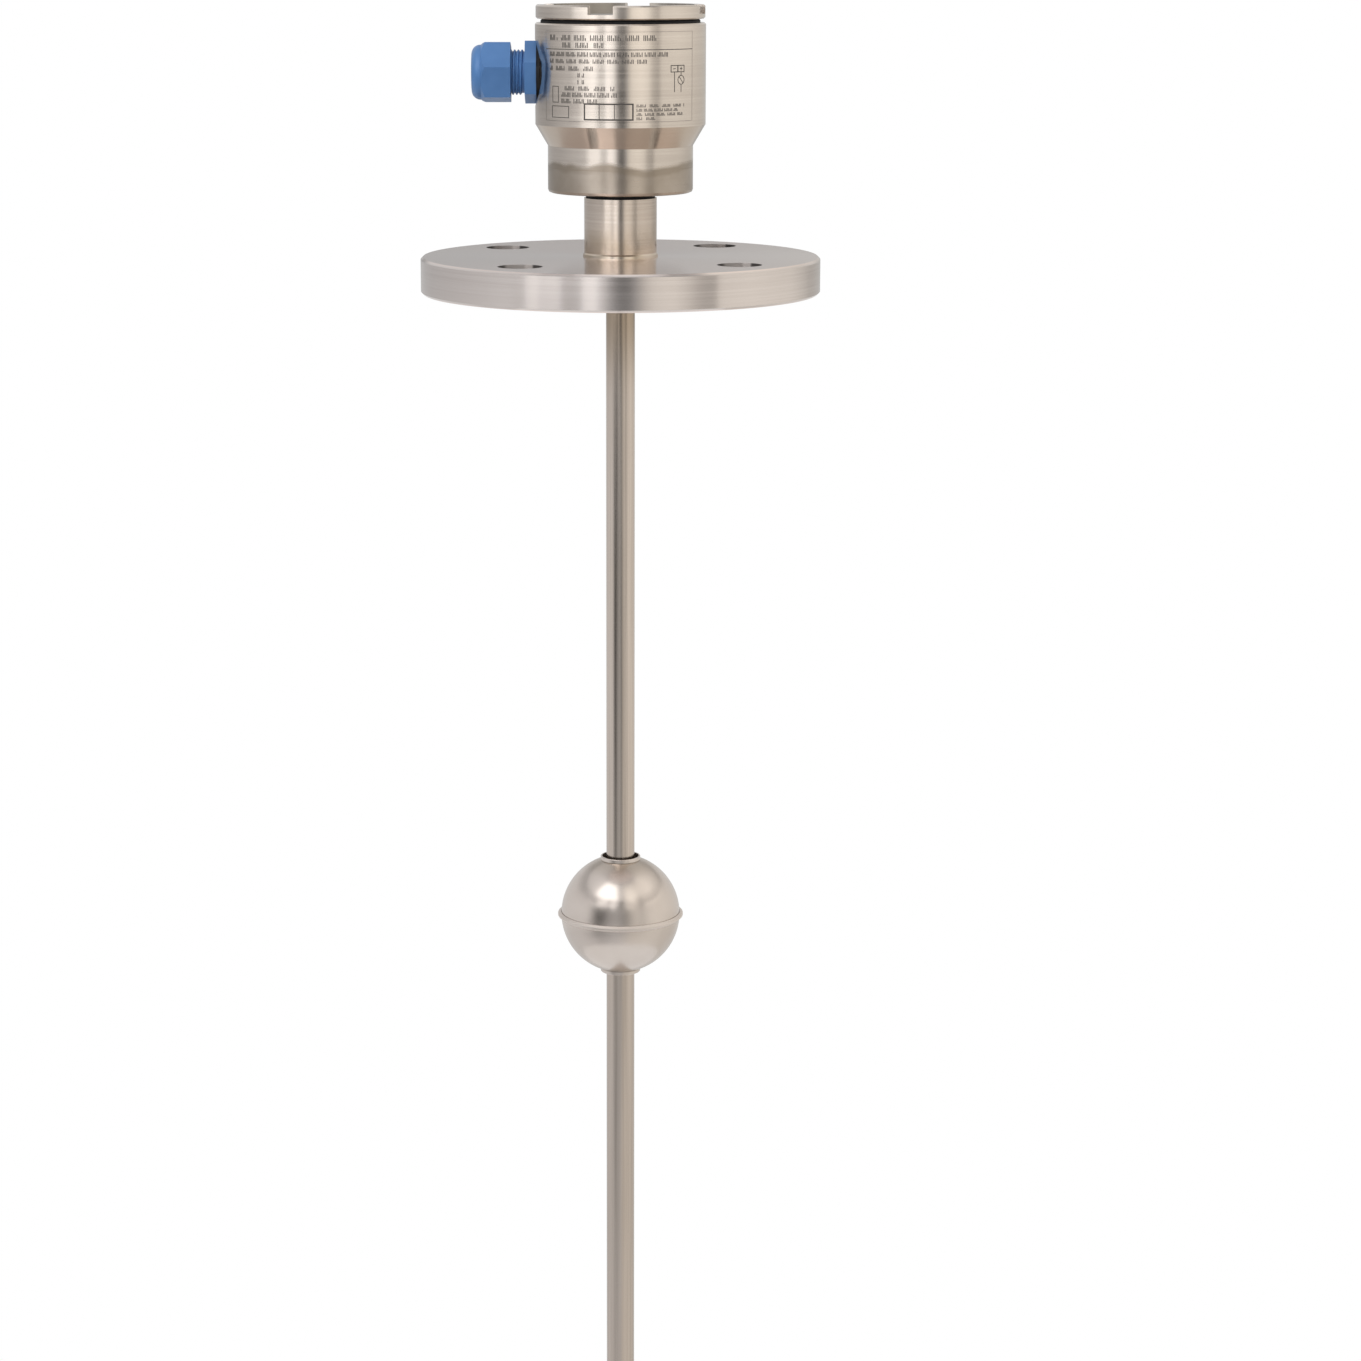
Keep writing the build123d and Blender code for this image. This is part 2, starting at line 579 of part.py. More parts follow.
def make_gland_dome_nut():
    end = NUT_START + NUT_LENGTH
    hex_end = NUT_START + NUT_HEX_LENGTH + NUT_SHOULDER
    dome = GLAND_FLATS / 2 - NUT_DOME_SETBACK
    corner = GLAND_FLATS / sqrt(3)
    bar = hexagon(GLAND_FLATS, NUT_START, hex_end, NUT_ANGLE)
    shoulder = turned([
        (0, NUT_START),
        (corner, NUT_START),
        (corner, NUT_START + NUT_HEX_LENGTH),
        (dome, hex_end),
        (0, hex_end),
    ])
    round_part = rod(dome, NUT_START, end)
    rim = round_part.edges().sort_by(Axis.Z)[-1]
    body = (bar & shoulder) + fillet(rim, NUT_END_RADIUS)
    bore = GLAND_NECK_THREAD / 2 + THREAD_GAP
    cone_start = NUT_START + NUT_THREAD_LENGTH
    seat = INSERT_DIAMETER / 2 + THREAD_GAP
    cone_end = cone_start + (bore - seat)
    hollow = turned([
        (0, NUT_START - CUT_PAST),
        (bore, NUT_START - CUT_PAST),
        (bore, cone_start),
        (seat, cone_end),
        (seat, end - NUT_END_WALL),
        (NUT_CABLE_HOLE / 2, end - NUT_END_WALL),
        (NUT_CABLE_HOLE / 2, end + CUT_PAST),
        (0, end + CUT_PAST),
    ])
    return along_gland(body - hollow)


# Mounting plate, transmitter and terminals

def module_screw_places():
    return [(sign * MODULE_SCREW_DISTANCE, 0) for sign in (1, -1)]


def make_mounting_plate():
    plate = tube(UPPER_BORE_RADIUS - 2 * SEAT_GAP, PLATE_CENTRE_HOLE / 2, LEDGE_TOP, PLATE_TOP)
    below, above = LEDGE_TOP - CUT_PAST, PLATE_TOP + CUT_PAST
    for x, y in plate_screw_places():
        plate -= rod(PLATE_SCREW_DIAMETER / 2 + SEAT_GAP, below, above, x, y)
    for x, y in module_screw_places():
        plate -= rod(MODULE_SCREW_DIAMETER / 2 + SEAT_GAP, below, above, x, y)
    return plate


def plate_screw(x, y, seat):
    length = seat - LEDGE_TOP + PLATE_SCREW_BITE
    head = PLATE_SCREW_HEAD / 2
    radius = PLATE_SCREW_DIAMETER / 2
    return headed_screw(radius, length, head, PLATE_SCREW_HEAD_HEIGHT, seat, x, y)


def make_mounting_screws():
    return [plate_screw(x, y, PLATE_TOP) for x, y in plate_screw_places()[:-1]]


def make_earth_clamp():
    x, y = plate_screw_places()[-1]
    turn = Vector(1, 0, 0).get_signed_angle(Vector(x, y, 0), Vector(0, 0, 1))
    clamp = Box(EARTH_CLAMP_WIDTH, EARTH_CLAMP_LENGTH, EARTH_CLAMP_THICKNESS)
    clamp -= Cylinder(PLATE_SCREW_DIAMETER / 2 + SEAT_GAP, 2 * EARTH_CLAMP_THICKNESS)
    return Pos(x, y, PLATE_TOP + EARTH_CLAMP_THICKNESS / 2) * Rot(0, 0, turn) * clamp


def make_earth_screw():
    x, y = plate_screw_places()[-1]
    return plate_screw(x, y, PLATE_TOP + EARTH_CLAMP_THICKNESS)


def make_transmitter():
    counterbore_floor = TRANSMITTER_TOP - MODULE_COUNTERBORE_DEPTH
    puck = turned([
        (0, PLATE_TOP),
        (TRANSMITTER_RADIUS, PLATE_TOP),
        (TRANSMITTER_RADIUS, TRANSMITTER_TOP - TRANSMITTER_CHAMFER),
        (TRANSMITTER_RADIUS - TRANSMITTER_CHAMFER, TRANSMITTER_TOP),
        (0, TRANSMITTER_TOP),
    ])
    shank = MODULE_SCREW_DIAMETER / 2 + SEAT_GAP
    head = MODULE_SCREW_HEAD / 2 + SEAT_GAP
    above = TRANSMITTER_TOP + CUT_PAST
    for x, y in module_screw_places():
        puck -= rod(shank, PLATE_TOP - CUT_PAST, above, x, y)
        puck -= rod(head, counterbore_floor, above, x, y)
    return puck


def make_transmitter_screws():
    seat = TRANSMITTER_TOP - MODULE_COUNTERBORE_DEPTH
    length = seat - LEDGE_TOP + MODULE_SCREW_PAST_PLATE
    radius = MODULE_SCREW_DIAMETER / 2
    head = MODULE_SCREW_HEAD / 2
    return [
        headed_screw(radius, length, head, MODULE_SCREW_HEAD_HEIGHT, seat, x, y)
        for x, y in module_screw_places()
    ]


def terminal_places():
    middle = (TERMINAL_COUNT - 1) / 2
    return [((i - middle) * TERMINAL_PITCH, -TERMINAL_ROW_DISTANCE) for i in range(TERMINAL_COUNT)]


def make_terminal_clamps():
    clamps = []
    for x, y in terminal_places():
        block = Box(TERMINAL_WIDTH, TERMINAL_LENGTH, TERMINAL_HEIGHT)
        block = Pos(x, y, TRANSMITTER_TOP + TERMINAL_HEIGHT / 2) * block
        hole = TERMINAL_SCREW_DIAMETER / 2 + SEAT_GAP
        hole_floor = TERMINAL_TOP - TERMINAL_SCREW_SUNK - TERMINAL_SCREW_LENGTH
        clamps.append(block - rod(hole, hole_floor, TERMINAL_TOP + CUT_PAST, x, y))
    return clamps


def make_terminal_screws():
    radius = TERMINAL_SCREW_DIAMETER / 2
    top = TERMINAL_TOP - TERMINAL_SCREW_SUNK
    return [rod(radius, top - TERMINAL_SCREW_LENGTH, top, x, y) for x, y in terminal_places()]


# Reed chain

def reed_heights():
    first = BOARD_BOTTOM + REED_START_GAP + REED_LENGTH / 2
    last = -REED_PITCH - REED_LENGTH
    count = int((last - first) / REED_PITCH) + 1
    return [first + i * REED_PITCH for i in range(count)]


def make_reed_board():
    half_thickness = BOARD_THICKNESS / 2
    edge = sqrt((TUBE_INNER_RADIUS - BOARD_EDGE_GAP) ** 2 - half_thickness ** 2)
    strip = Box(2 * edge, BOARD_THICKNESS, BOARD_TOP - BOARD_BOTTOM)
    return Pos(0, 0, (BOARD_TOP + BOARD_BOTTOM) / 2) * strip


def make_reed_switches():
    apothem = REED_DIAMETER / 2
    section = RegularPolygon(apothem, REED_SIDES, major_radius=False, rotation=180 / REED_SIDES)
    glass = extrude(section, REED_LENGTH)
    y = -BOARD_THICKNESS / 2 - apothem
    return [Pos(0, y, height - REED_LENGTH / 2) * glass for height in reed_heights()]


def make_chain_resistors():
    y = (BOARD_THICKNESS + RESISTOR_THICKNESS) / 2
    chip = Box(RESISTOR_WIDTH, RESISTOR_THICKNESS, RESISTOR_LENGTH)
    return [Pos(0, y, height) * chip for height in reed_heights()]


def make_chain_leads():
    # Each lead stands on the board's upper edge and climbs through the neck and the plate
    # into the underside of the module.
    middle = (LEAD_COUNT - 1) / 2
    places = [(i - middle) * LEAD_SPACING for i in range(LEAD_COUNT)]
    return [rod(LEAD_DIAMETER / 2, BOARD_TOP, PLATE_TOP, x) for x in places]


NODES = {
    "flange": make_flange,
    "guide_tube": make_guide_tube,
    "tube_end_plug": make_tube_end_plug,
    "stop_collar": make_stop_collar,
    "stop_collar_screw": make_stop_collar_screw,
    "float_upper_shell": make_float_upper_shell,
    "float_lower_shell": make_float_lower_shell,
    "float_inner_tube": make_float_inner_tube,
    "float_magnet": make_float_magnet,
    "magnet_retainers": make_magnet_retainers,
    "neck_tube": make_neck_tube,
    "neck_seal": make_neck_seal,
    "neck_lock_nut": make_neck_lock_nut,
    "housing": make_housing,
    "cover": make_cover,
    "cover_o_ring": make_cover_o_ring,
    "gland_gasket": make_gland_gasket,
    "gland_body": make_gland_body,
    "gland_insert": make_gland_insert,
    "gland_dome_nut": make_gland_dome_nut,
    "mounting_plate": make_mounting_plate,
    "mounting_screws": make_mounting_screws,
    "earth_clamp": make_earth_clamp,
    "earth_screw": make_earth_screw,
    "transmitter": make_transmitter,
    "transmitter_screws": make_transmitter_screws,
    "terminal_clamps": make_terminal_clamps,
    "terminal_screws": make_terminal_screws,
    "reed_board": make_reed_board,
    "reed_switches": make_reed_switches,
    "chain_resistors": make_chain_resistors,
    "chain_leads": make_chain_leads,
}

os.makedirs("parts", exist_ok=True)
for name, make in NODES.items():
    shape = make()
    if isinstance(shape, list):
        shape = Compound(children=[solid for piece in shape for solid in piece.solids()])
    export_step(shape, f"parts/{name}.step")
    print(name, "volume", round(shape.volume, 1))
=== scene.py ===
# %% [markdown]
# # A reed level transmitter
# The object measures the level in a tank: a stainless guide tube hangs from a process flange, a
# ball float slides on it, and a turned head with a screw cover and a cable gland sits on top.
# The solid parts come finished from the CAD model, each at its true place, in metres. Blender gives
# every one of them its finish, adds the forms that are too fine for the solids, and builds a studio
# in which steel looks like steel. We begin by loading the parts and noting the box they fill.

# %% Load the CAD parts
import json
import math

import bmesh
import bpy
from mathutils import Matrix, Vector


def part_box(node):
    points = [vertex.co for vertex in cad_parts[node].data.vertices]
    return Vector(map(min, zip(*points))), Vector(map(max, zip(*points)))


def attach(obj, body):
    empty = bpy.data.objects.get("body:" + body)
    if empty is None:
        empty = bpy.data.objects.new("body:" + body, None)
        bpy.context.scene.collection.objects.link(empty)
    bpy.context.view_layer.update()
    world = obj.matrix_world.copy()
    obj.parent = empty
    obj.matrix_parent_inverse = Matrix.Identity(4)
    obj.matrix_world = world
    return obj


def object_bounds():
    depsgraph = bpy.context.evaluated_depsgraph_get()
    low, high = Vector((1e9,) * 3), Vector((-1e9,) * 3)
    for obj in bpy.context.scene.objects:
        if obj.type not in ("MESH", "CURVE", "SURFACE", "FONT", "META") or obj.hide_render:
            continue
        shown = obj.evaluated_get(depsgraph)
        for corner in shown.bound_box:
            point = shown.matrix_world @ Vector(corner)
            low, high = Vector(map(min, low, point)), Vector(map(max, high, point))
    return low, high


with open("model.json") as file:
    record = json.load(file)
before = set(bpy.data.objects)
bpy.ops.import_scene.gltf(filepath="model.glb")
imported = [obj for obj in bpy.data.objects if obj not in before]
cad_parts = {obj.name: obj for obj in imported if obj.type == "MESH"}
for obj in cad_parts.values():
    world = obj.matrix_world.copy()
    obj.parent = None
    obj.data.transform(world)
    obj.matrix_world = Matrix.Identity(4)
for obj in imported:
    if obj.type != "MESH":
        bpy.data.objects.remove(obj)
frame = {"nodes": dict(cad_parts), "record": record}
cad_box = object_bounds()
print("CAD parts:", len(frame["nodes"]), "height:", round(cad_box[1].z - cad_box[0].z, 4), "m")

# %% [markdown]
# ## Places on the object
# The finishes and the new pieces need a few places: how wide the flange is, where its bolt holes lie,
# at what height the gland sits. They could be typed in, but each loaded part knows its own box and
# the record knows the bolt holes, so they are read from there and stay true if the model changes.

# %% Places on the object
def middle_height(part):
    low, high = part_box(part)
    return (low.z + high.z) / 2


FLANGE_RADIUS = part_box("flange")[1].x
HOUSING_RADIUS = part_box("housing")[1].x
GLAND_HEIGHT = middle_height("gland_dome_nut")
FLOAT_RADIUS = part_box("float_upper_shell")[1].x
FLOAT_SEAM = middle_height("float_inner_tube")
TUBE_TIP = cad_box[0].z
bolts = next(mount["dims"] for mount in frame["record"]["mounts"] if mount["name"] == "flange_bolts")
BOLT_CIRCLE, BOLT_HOLE_RADIUS = bolts["pcd_mm"] / 2000, bolts["hole_r_mm"] / 1000
print("float seam at", round(FLOAT_SEAM, 4), "m, bolt circle of radius", BOLT_CIRCLE, "m")

# %% [markdown]
# ## Camera
# The photograph was taken from about 1.45 m away, a little above the object, so the flange shows as a
# flat ellipse. We could frame by eye, but the measured edges of the flange, head, tube and float give
# the height, distance and tilt, so the camera is simply put there. The picture is cropped to one
# side, which a lens shift repeats without bending the upright tube.

# %% Camera
CAMERA_DISTANCE, CAMERA_HEIGHT, LOOK_DOWN = 1.450, 0.1481, 12.05
camera_data = bpy.data.cameras.new("photo_camera")
camera_data.sensor_width = 36
camera_data.lens = 92.5
camera_data.shift_x = 0.0441
camera = bpy.data.objects.new("photo_camera", camera_data)
camera.location = (0, -CAMERA_DISTANCE, CAMERA_HEIGHT)
camera.rotation_euler = (math.radians(90 - LOOK_DOWN), 0, 0)
bpy.context.scene.collection.objects.link(camera)
bpy.context.scene.camera = camera
bpy.context.scene.view_settings.view_transform = "Standard"
print("camera lens:", camera_data.lens, "mm")

# %% [markdown]
# ## Nodes and arithmetic
# A material in Blender is a small graph: a pattern is worked out from the place on the part, and
# feeds colour, roughness and bump. Every node could be made by itself, but a finish then takes a page,
# so these helpers make a node, feed its sockets and do the arithmetic in one readable line each.

# %% Nodes and arithmetic
def add(tree, kind, values=None, **settings):
    """Makes a node with these socket values and settings."""
    made = tree.nodes.new(kind)
    for name, value in settings.items():
        setattr(made, name, value)
    for socket, value in (values or {}).items():
        made.inputs[socket].default_value = value
    return made


def feed(tree, value, socket):
    """Gives a socket a plain number, a colour or another node's result."""
    if isinstance(value, (int, float)):
        socket.default_value = value
    elif isinstance(value, tuple):
        socket.default_value = (*value, 1)
    else:
        tree.links.new(value, socket)


def sums(tree, operation, first, second=0.0):
    """One step of arithmetic. Operations on a single number leave the second one unused."""
    made = add(tree, "ShaderNodeMath", operation=operation)
    feed(tree, first, made.inputs[0])
    feed(tree, second, made.inputs[1])
    return made.outputs[0]


def plus(tree, first, second):
    return sums(tree, "ADD", first, second)


def times(tree, first, second):
    return sums(tree, "MULTIPLY", first, second)


def length_of(tree, across, along):
    """The long side of a right-angled triangle."""
    return sums(tree, "SQRT", plus(tree, times(tree, across, across), times(tree, along, along)))


print("arithmetic ready")

# %% [markdown]
# ## Soft edges and colours
# Real finishes seldom change with a hard line. A step could be a comparison, which shows as a jagged
# edge, so every change here is a smooth fade between two places, and a band is two fades multiplied.

# %% Soft edges and colours
def fade(tree, value, start, end, low=0.0, high=1.0, curve="SMOOTHSTEP"):
    """Goes from low to high while value goes from start to end, and stays level beyond them."""
    ends = {"From Min": start, "From Max": end, "To Min": low, "To Max": high}
    made = add(tree, "ShaderNodeMapRange", ends, interpolation_type=curve)
    feed(tree, value, made.inputs["Value"])
    return made.outputs["Result"]


def band(tree, value, rise, fall):
    """1 between two soft edges and 0 beyond them; each edge is given by where it starts and ends."""
    return times(tree, fade(tree, value, *rise), fade(tree, value, *fall))


def vary(tree, noise, low=0.0, high=1.0):
    """Spreads a noise, which lies mostly between 0.3 and 0.7, over the range from low to high."""
    return fade(tree, noise, 0.3, 0.7, low, high)


def blend_colours(tree, amount, first, second):
    made = add(tree, "ShaderNodeMix", data_type="RGBA")
    feed(tree, amount, made.inputs[0])
    feed(tree, first, made.inputs[6])
    feed(tree, second, made.inputs[7])
    return made.outputs[2]


def mottle(tree, noise, dark, pale):
    """Two colours that a noise mixes."""
    return blend_colours(tree, vary(tree, noise), dark, pale)


print("fades and colours ready")

# %% [markdown]
# ## Places and patterns
# Patterns could follow an unwrapped surface, but these parts are turned and drawn, so the true metres
# of the part, its Object coordinates, are the natural guide: height, distance from the axis, and
# noise that is squeezed along one of them.

# %% Places and patterns
def place_on_part(tree):
    return add(tree, "ShaderNodeTexCoord").outputs["Object"]


def split(tree, place):
    parts = add(tree, "ShaderNodeSeparateXYZ")
    feed(tree, place, parts.inputs[0])
    return parts.outputs["X"], parts.outputs["Y"], parts.outputs["Z"]


def split_place(tree):
    return split(tree, place_on_part(tree))


def distance_from_axis(tree):
    x, y, _ = split_place(tree)
    return length_of(tree, x, y)


def height_on_part(tree):
    return split_place(tree)[2]


def cloud(tree, scale, detail=3.0, squeeze=(1, 1, 1)):
    """A soft random pattern, squeezed along x, y and z."""
    mapping = add(tree, "ShaderNodeMapping", {"Scale": squeeze})
    feed(tree, place_on_part(tree), mapping.inputs["Vector"])
    noise = add(tree, "ShaderNodeTexNoise", {"Scale": scale, "Detail": detail})
    feed(tree, mapping.outputs["Vector"], noise.inputs["Vector"])
    return noise.outputs["Fac"]


print("patterns ready")

# %% [markdown]
# ## A new finish
# Every finish here is one Principled shader. Values that are the same all over the part are written
# on its sockets, and only what varies is linked. Grain could be displaced geometry, but at a hundredth
# of a millimetre a bump gives the same glints for nothing.

# %% A new finish
GRAIN_DEPTH = 0.00001
QUARTER_TURN = 0.25


def new_finish(name, **values):
    material = bpy.data.materials.new(name)
    material.use_nodes = True
    shader = material.node_tree.nodes["Principled BSDF"]
    for socket, value in values.items():
        shader.inputs[socket.replace("_", " ")].default_value = value
    return material, material.node_tree, shader


def coat(tree, shader, colour, rough):
    feed(tree, colour, shader.inputs["Base Color"])
    feed(tree, rough, shader.inputs["Roughness"])


def raise_grain(tree, shader, pattern, depth, strength):
    bump = add(tree, "ShaderNodeBump", {"Distance": depth})
    feed(tree, strength, bump.inputs["Strength"])
    feed(tree, pattern, bump.inputs["Height"])
    feed(tree, bump.outputs["Normal"], shader.inputs["Normal"])


print("grain depth:", GRAIN_DEPTH, "m")

# %% [markdown]
# ## Turning lines
# A lathe leaves fine rings: every point of one ring has the same radius and height. We could draw
# rings with a wave texture, but real ones are uneven, so a noise is squeezed along radius and height
# and left long around the part. Fed with the slow x and y as well, it has no seam at the back. The
# rings also stretch the gloss across them, which is what anisotropic gloss along the turn does.

# %% Turning lines
def lathe_rings(tree, fineness, around=18.0):
    x, y, z = split_place(tree)
    vector = add(tree, "ShaderNodeCombineXYZ")
    feed(tree, times(tree, distance_from_axis(tree), fineness), vector.inputs["X"])
    feed(tree, times(tree, z, fineness), vector.inputs["Y"])
    feed(tree, times(tree, x, around), vector.inputs["Z"])
    noise = add(tree, "ShaderNodeTexNoise", {"Scale": 1.0, "Detail": 2.0}, noise_dimensions="4D")
    feed(tree, vector.outputs[0], noise.inputs["Vector"])
    feed(tree, times(tree, y, around), noise.inputs["W"])
    return noise.outputs["Fac"]


def follow_turning(tree, shader):
    """Turns the stretched gloss to run round the upright axis, and gives back that direction."""
    tangent = add(tree, "ShaderNodeTangent", direction_type="RADIAL", axis="Z")
    feed(tree, tangent.outputs[0], shader.inputs["Tangent"])
    return tangent.outputs[0]


def stretch_where_turned(tree, shader, amount):
    """Stretches the gloss, but not on a milled wall that faces along the rings and has none itself."""
    facing = add(tree, "ShaderNodeVectorMath", operation="DOT_PRODUCT")
    feed(tree, follow_turning(tree, shader), facing.inputs[0])
    feed(tree, add(tree, "ShaderNodeNewGeometry").outputs["Normal"], facing.inputs[1])
    along = sums(tree, "ABSOLUTE", facing.outputs["Value"])
    feed(tree, fade(tree, along, 0.25, 0.6, amount, 0.0), shader.inputs["Anisotropic"])


print("lathe pattern ready")

# %% [markdown]
# ## Turned stainless steel
# The head is turned from bar: warm grey, with soft, sharp-edged reflections drawn out upwards and
# downwards by the rings. One flat grey would look like paint, so fine and coarse rings vary colour
# and roughness a little. The two turned finishes differ only in one region each, so that region is a
# function of its own, handed to the maker of the finish.

# %% Turned stainless steel
TURNED_DARK, TURNED_PALE = (0.61, 0.545, 0.49), (0.67, 0.605, 0.545)


def turned_steel(name, change_region):
    material, tree, shader = new_finish(name, Metallic=1.0, Anisotropic_Rotation=QUARTER_TURN)
    fine = lathe_rings(tree, 1500.0)
    coarse = lathe_rings(tree, 500.0, around=12.0)
    mixed = plus(tree, times(tree, fine, 0.6), times(tree, coarse, 0.4))
    colour = mottle(tree, mixed, TURNED_DARK, TURNED_PALE)
    coat(tree, shader, *change_region(tree, colour, vary(tree, mixed, 0.17, 0.22)))
    stretch_where_turned(tree, shader, 0.85)
    raise_grain(tree, shader, fine, GRAIN_DEPTH, 0.12)
    return material


print("turned steel ready")

# %% [markdown]
# ## Head steel
# The slimmer base of the head has a dull brownish film from welding, with a wavy, darker upper edge
# and one fine line round it. The film could be a second material with a hard border, but it fades
# into the bare steel, so it is a band of height whose edge a noise moves up and down. The cone above
# it is a touch browner.

# %% Head steel
FILM_TOP, FILM_EDGE = (0.0622, 0.0600), (0.0572, 0.0592)
LINE_BOTTOM, LINE_TOP = (0.0544, 0.0546), (0.0550, 0.0548)
CONE_BOTTOM, CONE_TOP = (0.0630, 0.0636), (0.0722, 0.0718)
FILM_BROWN, CONE_BROWN = (0.325, 0.275, 0.225), (0.46, 0.39, 0.32)


def welding_film(tree, colour, rough):
    z = height_on_part(tree)
    wavy = plus(tree, z, times(tree, cloud(tree, 45.0, 2.0, (1, 1, 0.4)), 0.009))
    below_top = fade(tree, wavy, *FILM_TOP)
    lines = plus(tree, band(tree, wavy, FILM_TOP, FILM_EDGE), band(tree, z, LINE_BOTTOM, LINE_TOP))
    patchy = times(tree, below_top, fade(tree, cloud(tree, 60.0), 0.3, 0.65, 0.65, 0.9))
    film = plus(tree, patchy, times(tree, lines, 0.2))
    cone = times(tree, band(tree, z, CONE_BOTTOM, CONE_TOP), 0.75)
    colour = blend_colours(tree, film, blend_colours(tree, cone, colour, CONE_BROWN), FILM_BROWN)
    return colour, plus(tree, rough, times(tree, film, 0.14))


head_steel = turned_steel("head_steel", welding_film)
print("made", head_steel.name)

# %% [markdown]
# ## Cover steel
# The cover is turned like the head, but the floor and wall of its shallow recess were left as cut and are
# duller, and their colour is darkened as painted shade in the hollow. A separate part would need a seam,
# so the region is found by its place: inside a radius and above a height.

# %% Cover steel
RECESS_RADIUS, RECESS_FLOOR, RECESS_PAINTED_SHADE = 0.0304, 0.1151, (0.30, 0.285, 0.26)


def dull_recess_painted_shade(tree, colour, rough):
    within = fade(tree, distance_from_axis(tree), RECESS_RADIUS + 0.0002, RECESS_RADIUS - 0.0002)
    above = fade(tree, height_on_part(tree), RECESS_FLOOR - 0.0001, RECESS_FLOOR + 0.0001)
    inside = times(tree, within, above)
    # The recess's darker grey is painted shade; the added roughness is its duller cut finish.
    colour = blend_colours(tree, times(tree, inside, 0.75), colour, RECESS_PAINTED_SHADE)
    return colour, plus(tree, rough, times(tree, inside, 0.15))


cover_steel = turned_steel("cover_steel", dull_recess_painted_shade)
print("made", cover_steel.name)

# %% [markdown]
# ## Bolt holes
# A drilled wall in bright metal mirrors mostly itself, so the holes look dark at both sides, with one
# light streak. Letting the rays find that gives a noisy speckle, so both are painted into the wall's
# colour from the place in the hole instead: painted shade at the ends, a painted highlight near the
# middle. Folding the flange brings all four holes onto one test.

# %% Bolt holes
FIRST_HOLE = math.radians(50)
HOLE_OUTER, HOLE_INNER = BOLT_CIRCLE * math.sin(FIRST_HOLE), BOLT_CIRCLE * math.cos(FIRST_HOLE)
# Levels of the painted shade, the grey and the painted highlight in the hole walls, and where each fades,
# in metres.
HOLE_PAINTED_SHADE, HOLE_GREY, HOLE_PAINTED_HIGHLIGHT = 0.16, 0.66, 1.6
LEFT_END, STREAK_START, RIGHT_END = (-0.0072, -0.0050), (0.0010, 0.0026), (0.0042, 0.0054)


def near_bolt_hole(tree):
    """1 inside the four bolt holes and 0 elsewhere."""
    turned = add(tree, "ShaderNodeMapping", {"Rotation": (0, 0, -FIRST_HOLE)})
    feed(tree, place_on_part(tree), turned.inputs["Vector"])
    x, y, _ = split(tree, turned.outputs["Vector"])
    across, along = sums(tree, "ABSOLUTE", x), sums(tree, "ABSOLUTE", y)
    outwards = sums(tree, "SUBTRACT", sums(tree, "MAXIMUM", across, along), BOLT_CIRCLE)
    from_hole = length_of(tree, outwards, sums(tree, "MINIMUM", across, along))
    return fade(tree, from_hole, BOLT_HOLE_RADIUS + 0.00025, BOLT_HOLE_RADIUS + 0.00005)


def across_hole(tree):
    """How far a spot lies to the right of the nearest hole's centre, in metres."""
    x, y, _ = split_place(tree)
    nearer = times(tree, sums(tree, "SIGN", times(tree, x, y)), (HOLE_OUTER - HOLE_INNER) / 2)
    centre = sums(tree, "SUBTRACT", (HOLE_OUTER + HOLE_INNER) / 2, nearer)
    return sums(tree, "SUBTRACT", x, times(tree, sums(tree, "SIGN", x), centre))


def painted_hole_shade(tree):
    """Painted shade at both ends, a painted highlight right of the middle; ends in metres from the hole's
    centre.
    """
    right = across_hole(tree)
    left_end = fade(tree, right, *LEFT_END, HOLE_PAINTED_SHADE, HOLE_GREY)
    streak = fade(tree, right, *STREAK_START, 1.0, HOLE_PAINTED_HIGHLIGHT)
    right_end = fade(tree, right, *RIGHT_END, 1.0, HOLE_PAINTED_SHADE)
    return times(tree, times(tree, left_end, streak), right_end)


print("bolt holes at", round(HOLE_OUTER, 4), "and", round(HOLE_INNER, 4), "m from the middle")

# %% [markdown]
# ## Flange steel
# The flange has a satin face and a rim with clear turning lines. One finish could cover both, but the
# face's own rings are so fine that the camera can't part them, so there they are faint, and the bump
# works on the rim alone.

# %% Flange steel
RIM_DARK, RIM_PALE = (0.615, 0.56, 0.535), (0.68, 0.625, 0.60)
FACE_DARK, FACE_PALE = (0.705, 0.620, 0.585), (0.770, 0.685, 0.650)
HOLE_STEEL, BLACK = (0.66, 0.60, 0.57), (0.0, 0.0, 0.0)


def flange_finish():
    material, tree, shader = new_finish("flange_steel", Metallic=1.0, Anisotropic_Rotation=QUARTER_TURN)
    rings = lathe_rings(tree, 1400.0, around=7.0)
    mixed = plus(tree, times(tree, rings, 0.75), times(tree, cloud(tree, 25.0), 0.25))
    hole = near_bolt_hole(tree)
    rim = fade(tree, distance_from_axis(tree), FLANGE_RADIUS - 0.0007, FLANGE_RADIUS - 0.0003)
    contrast = fade(tree, rim, 0.0, 1.0, 0.25, 1.0)
    lines = plus(tree, times(tree, sums(tree, "SUBTRACT", mixed, 0.5), contrast), 0.5)
    face = mottle(tree, lines, FACE_DARK, FACE_PALE)
    colour = blend_colours(tree, rim, face, mottle(tree, lines, RIM_DARK, RIM_PALE))
    # The hole walls' colour is painted shade with a painted highlight.
    wall = blend_colours(tree, painted_hole_shade(tree), BLACK, HOLE_STEEL)
    rough = plus(tree, vary(tree, lines, 0.15, 0.19), times(tree, rim, 0.04))
    coat(tree, shader, blend_colours(tree, hole, colour, wall), plus(tree, rough, times(tree, hole, 0.16)))
    feed(tree, fade(tree, hole, 0.0, 1.0, 0.86, 0.0), shader.inputs["Anisotropic"])
    feed(tree, fade(tree, hole, 0.0, 1.0, 1.0, 0.6), shader.inputs["Metallic"])
    follow_turning(tree, shader)
    raise_grain(tree, shader, rings, GRAIN_DEPTH, times(tree, rim, 0.10))
    return material


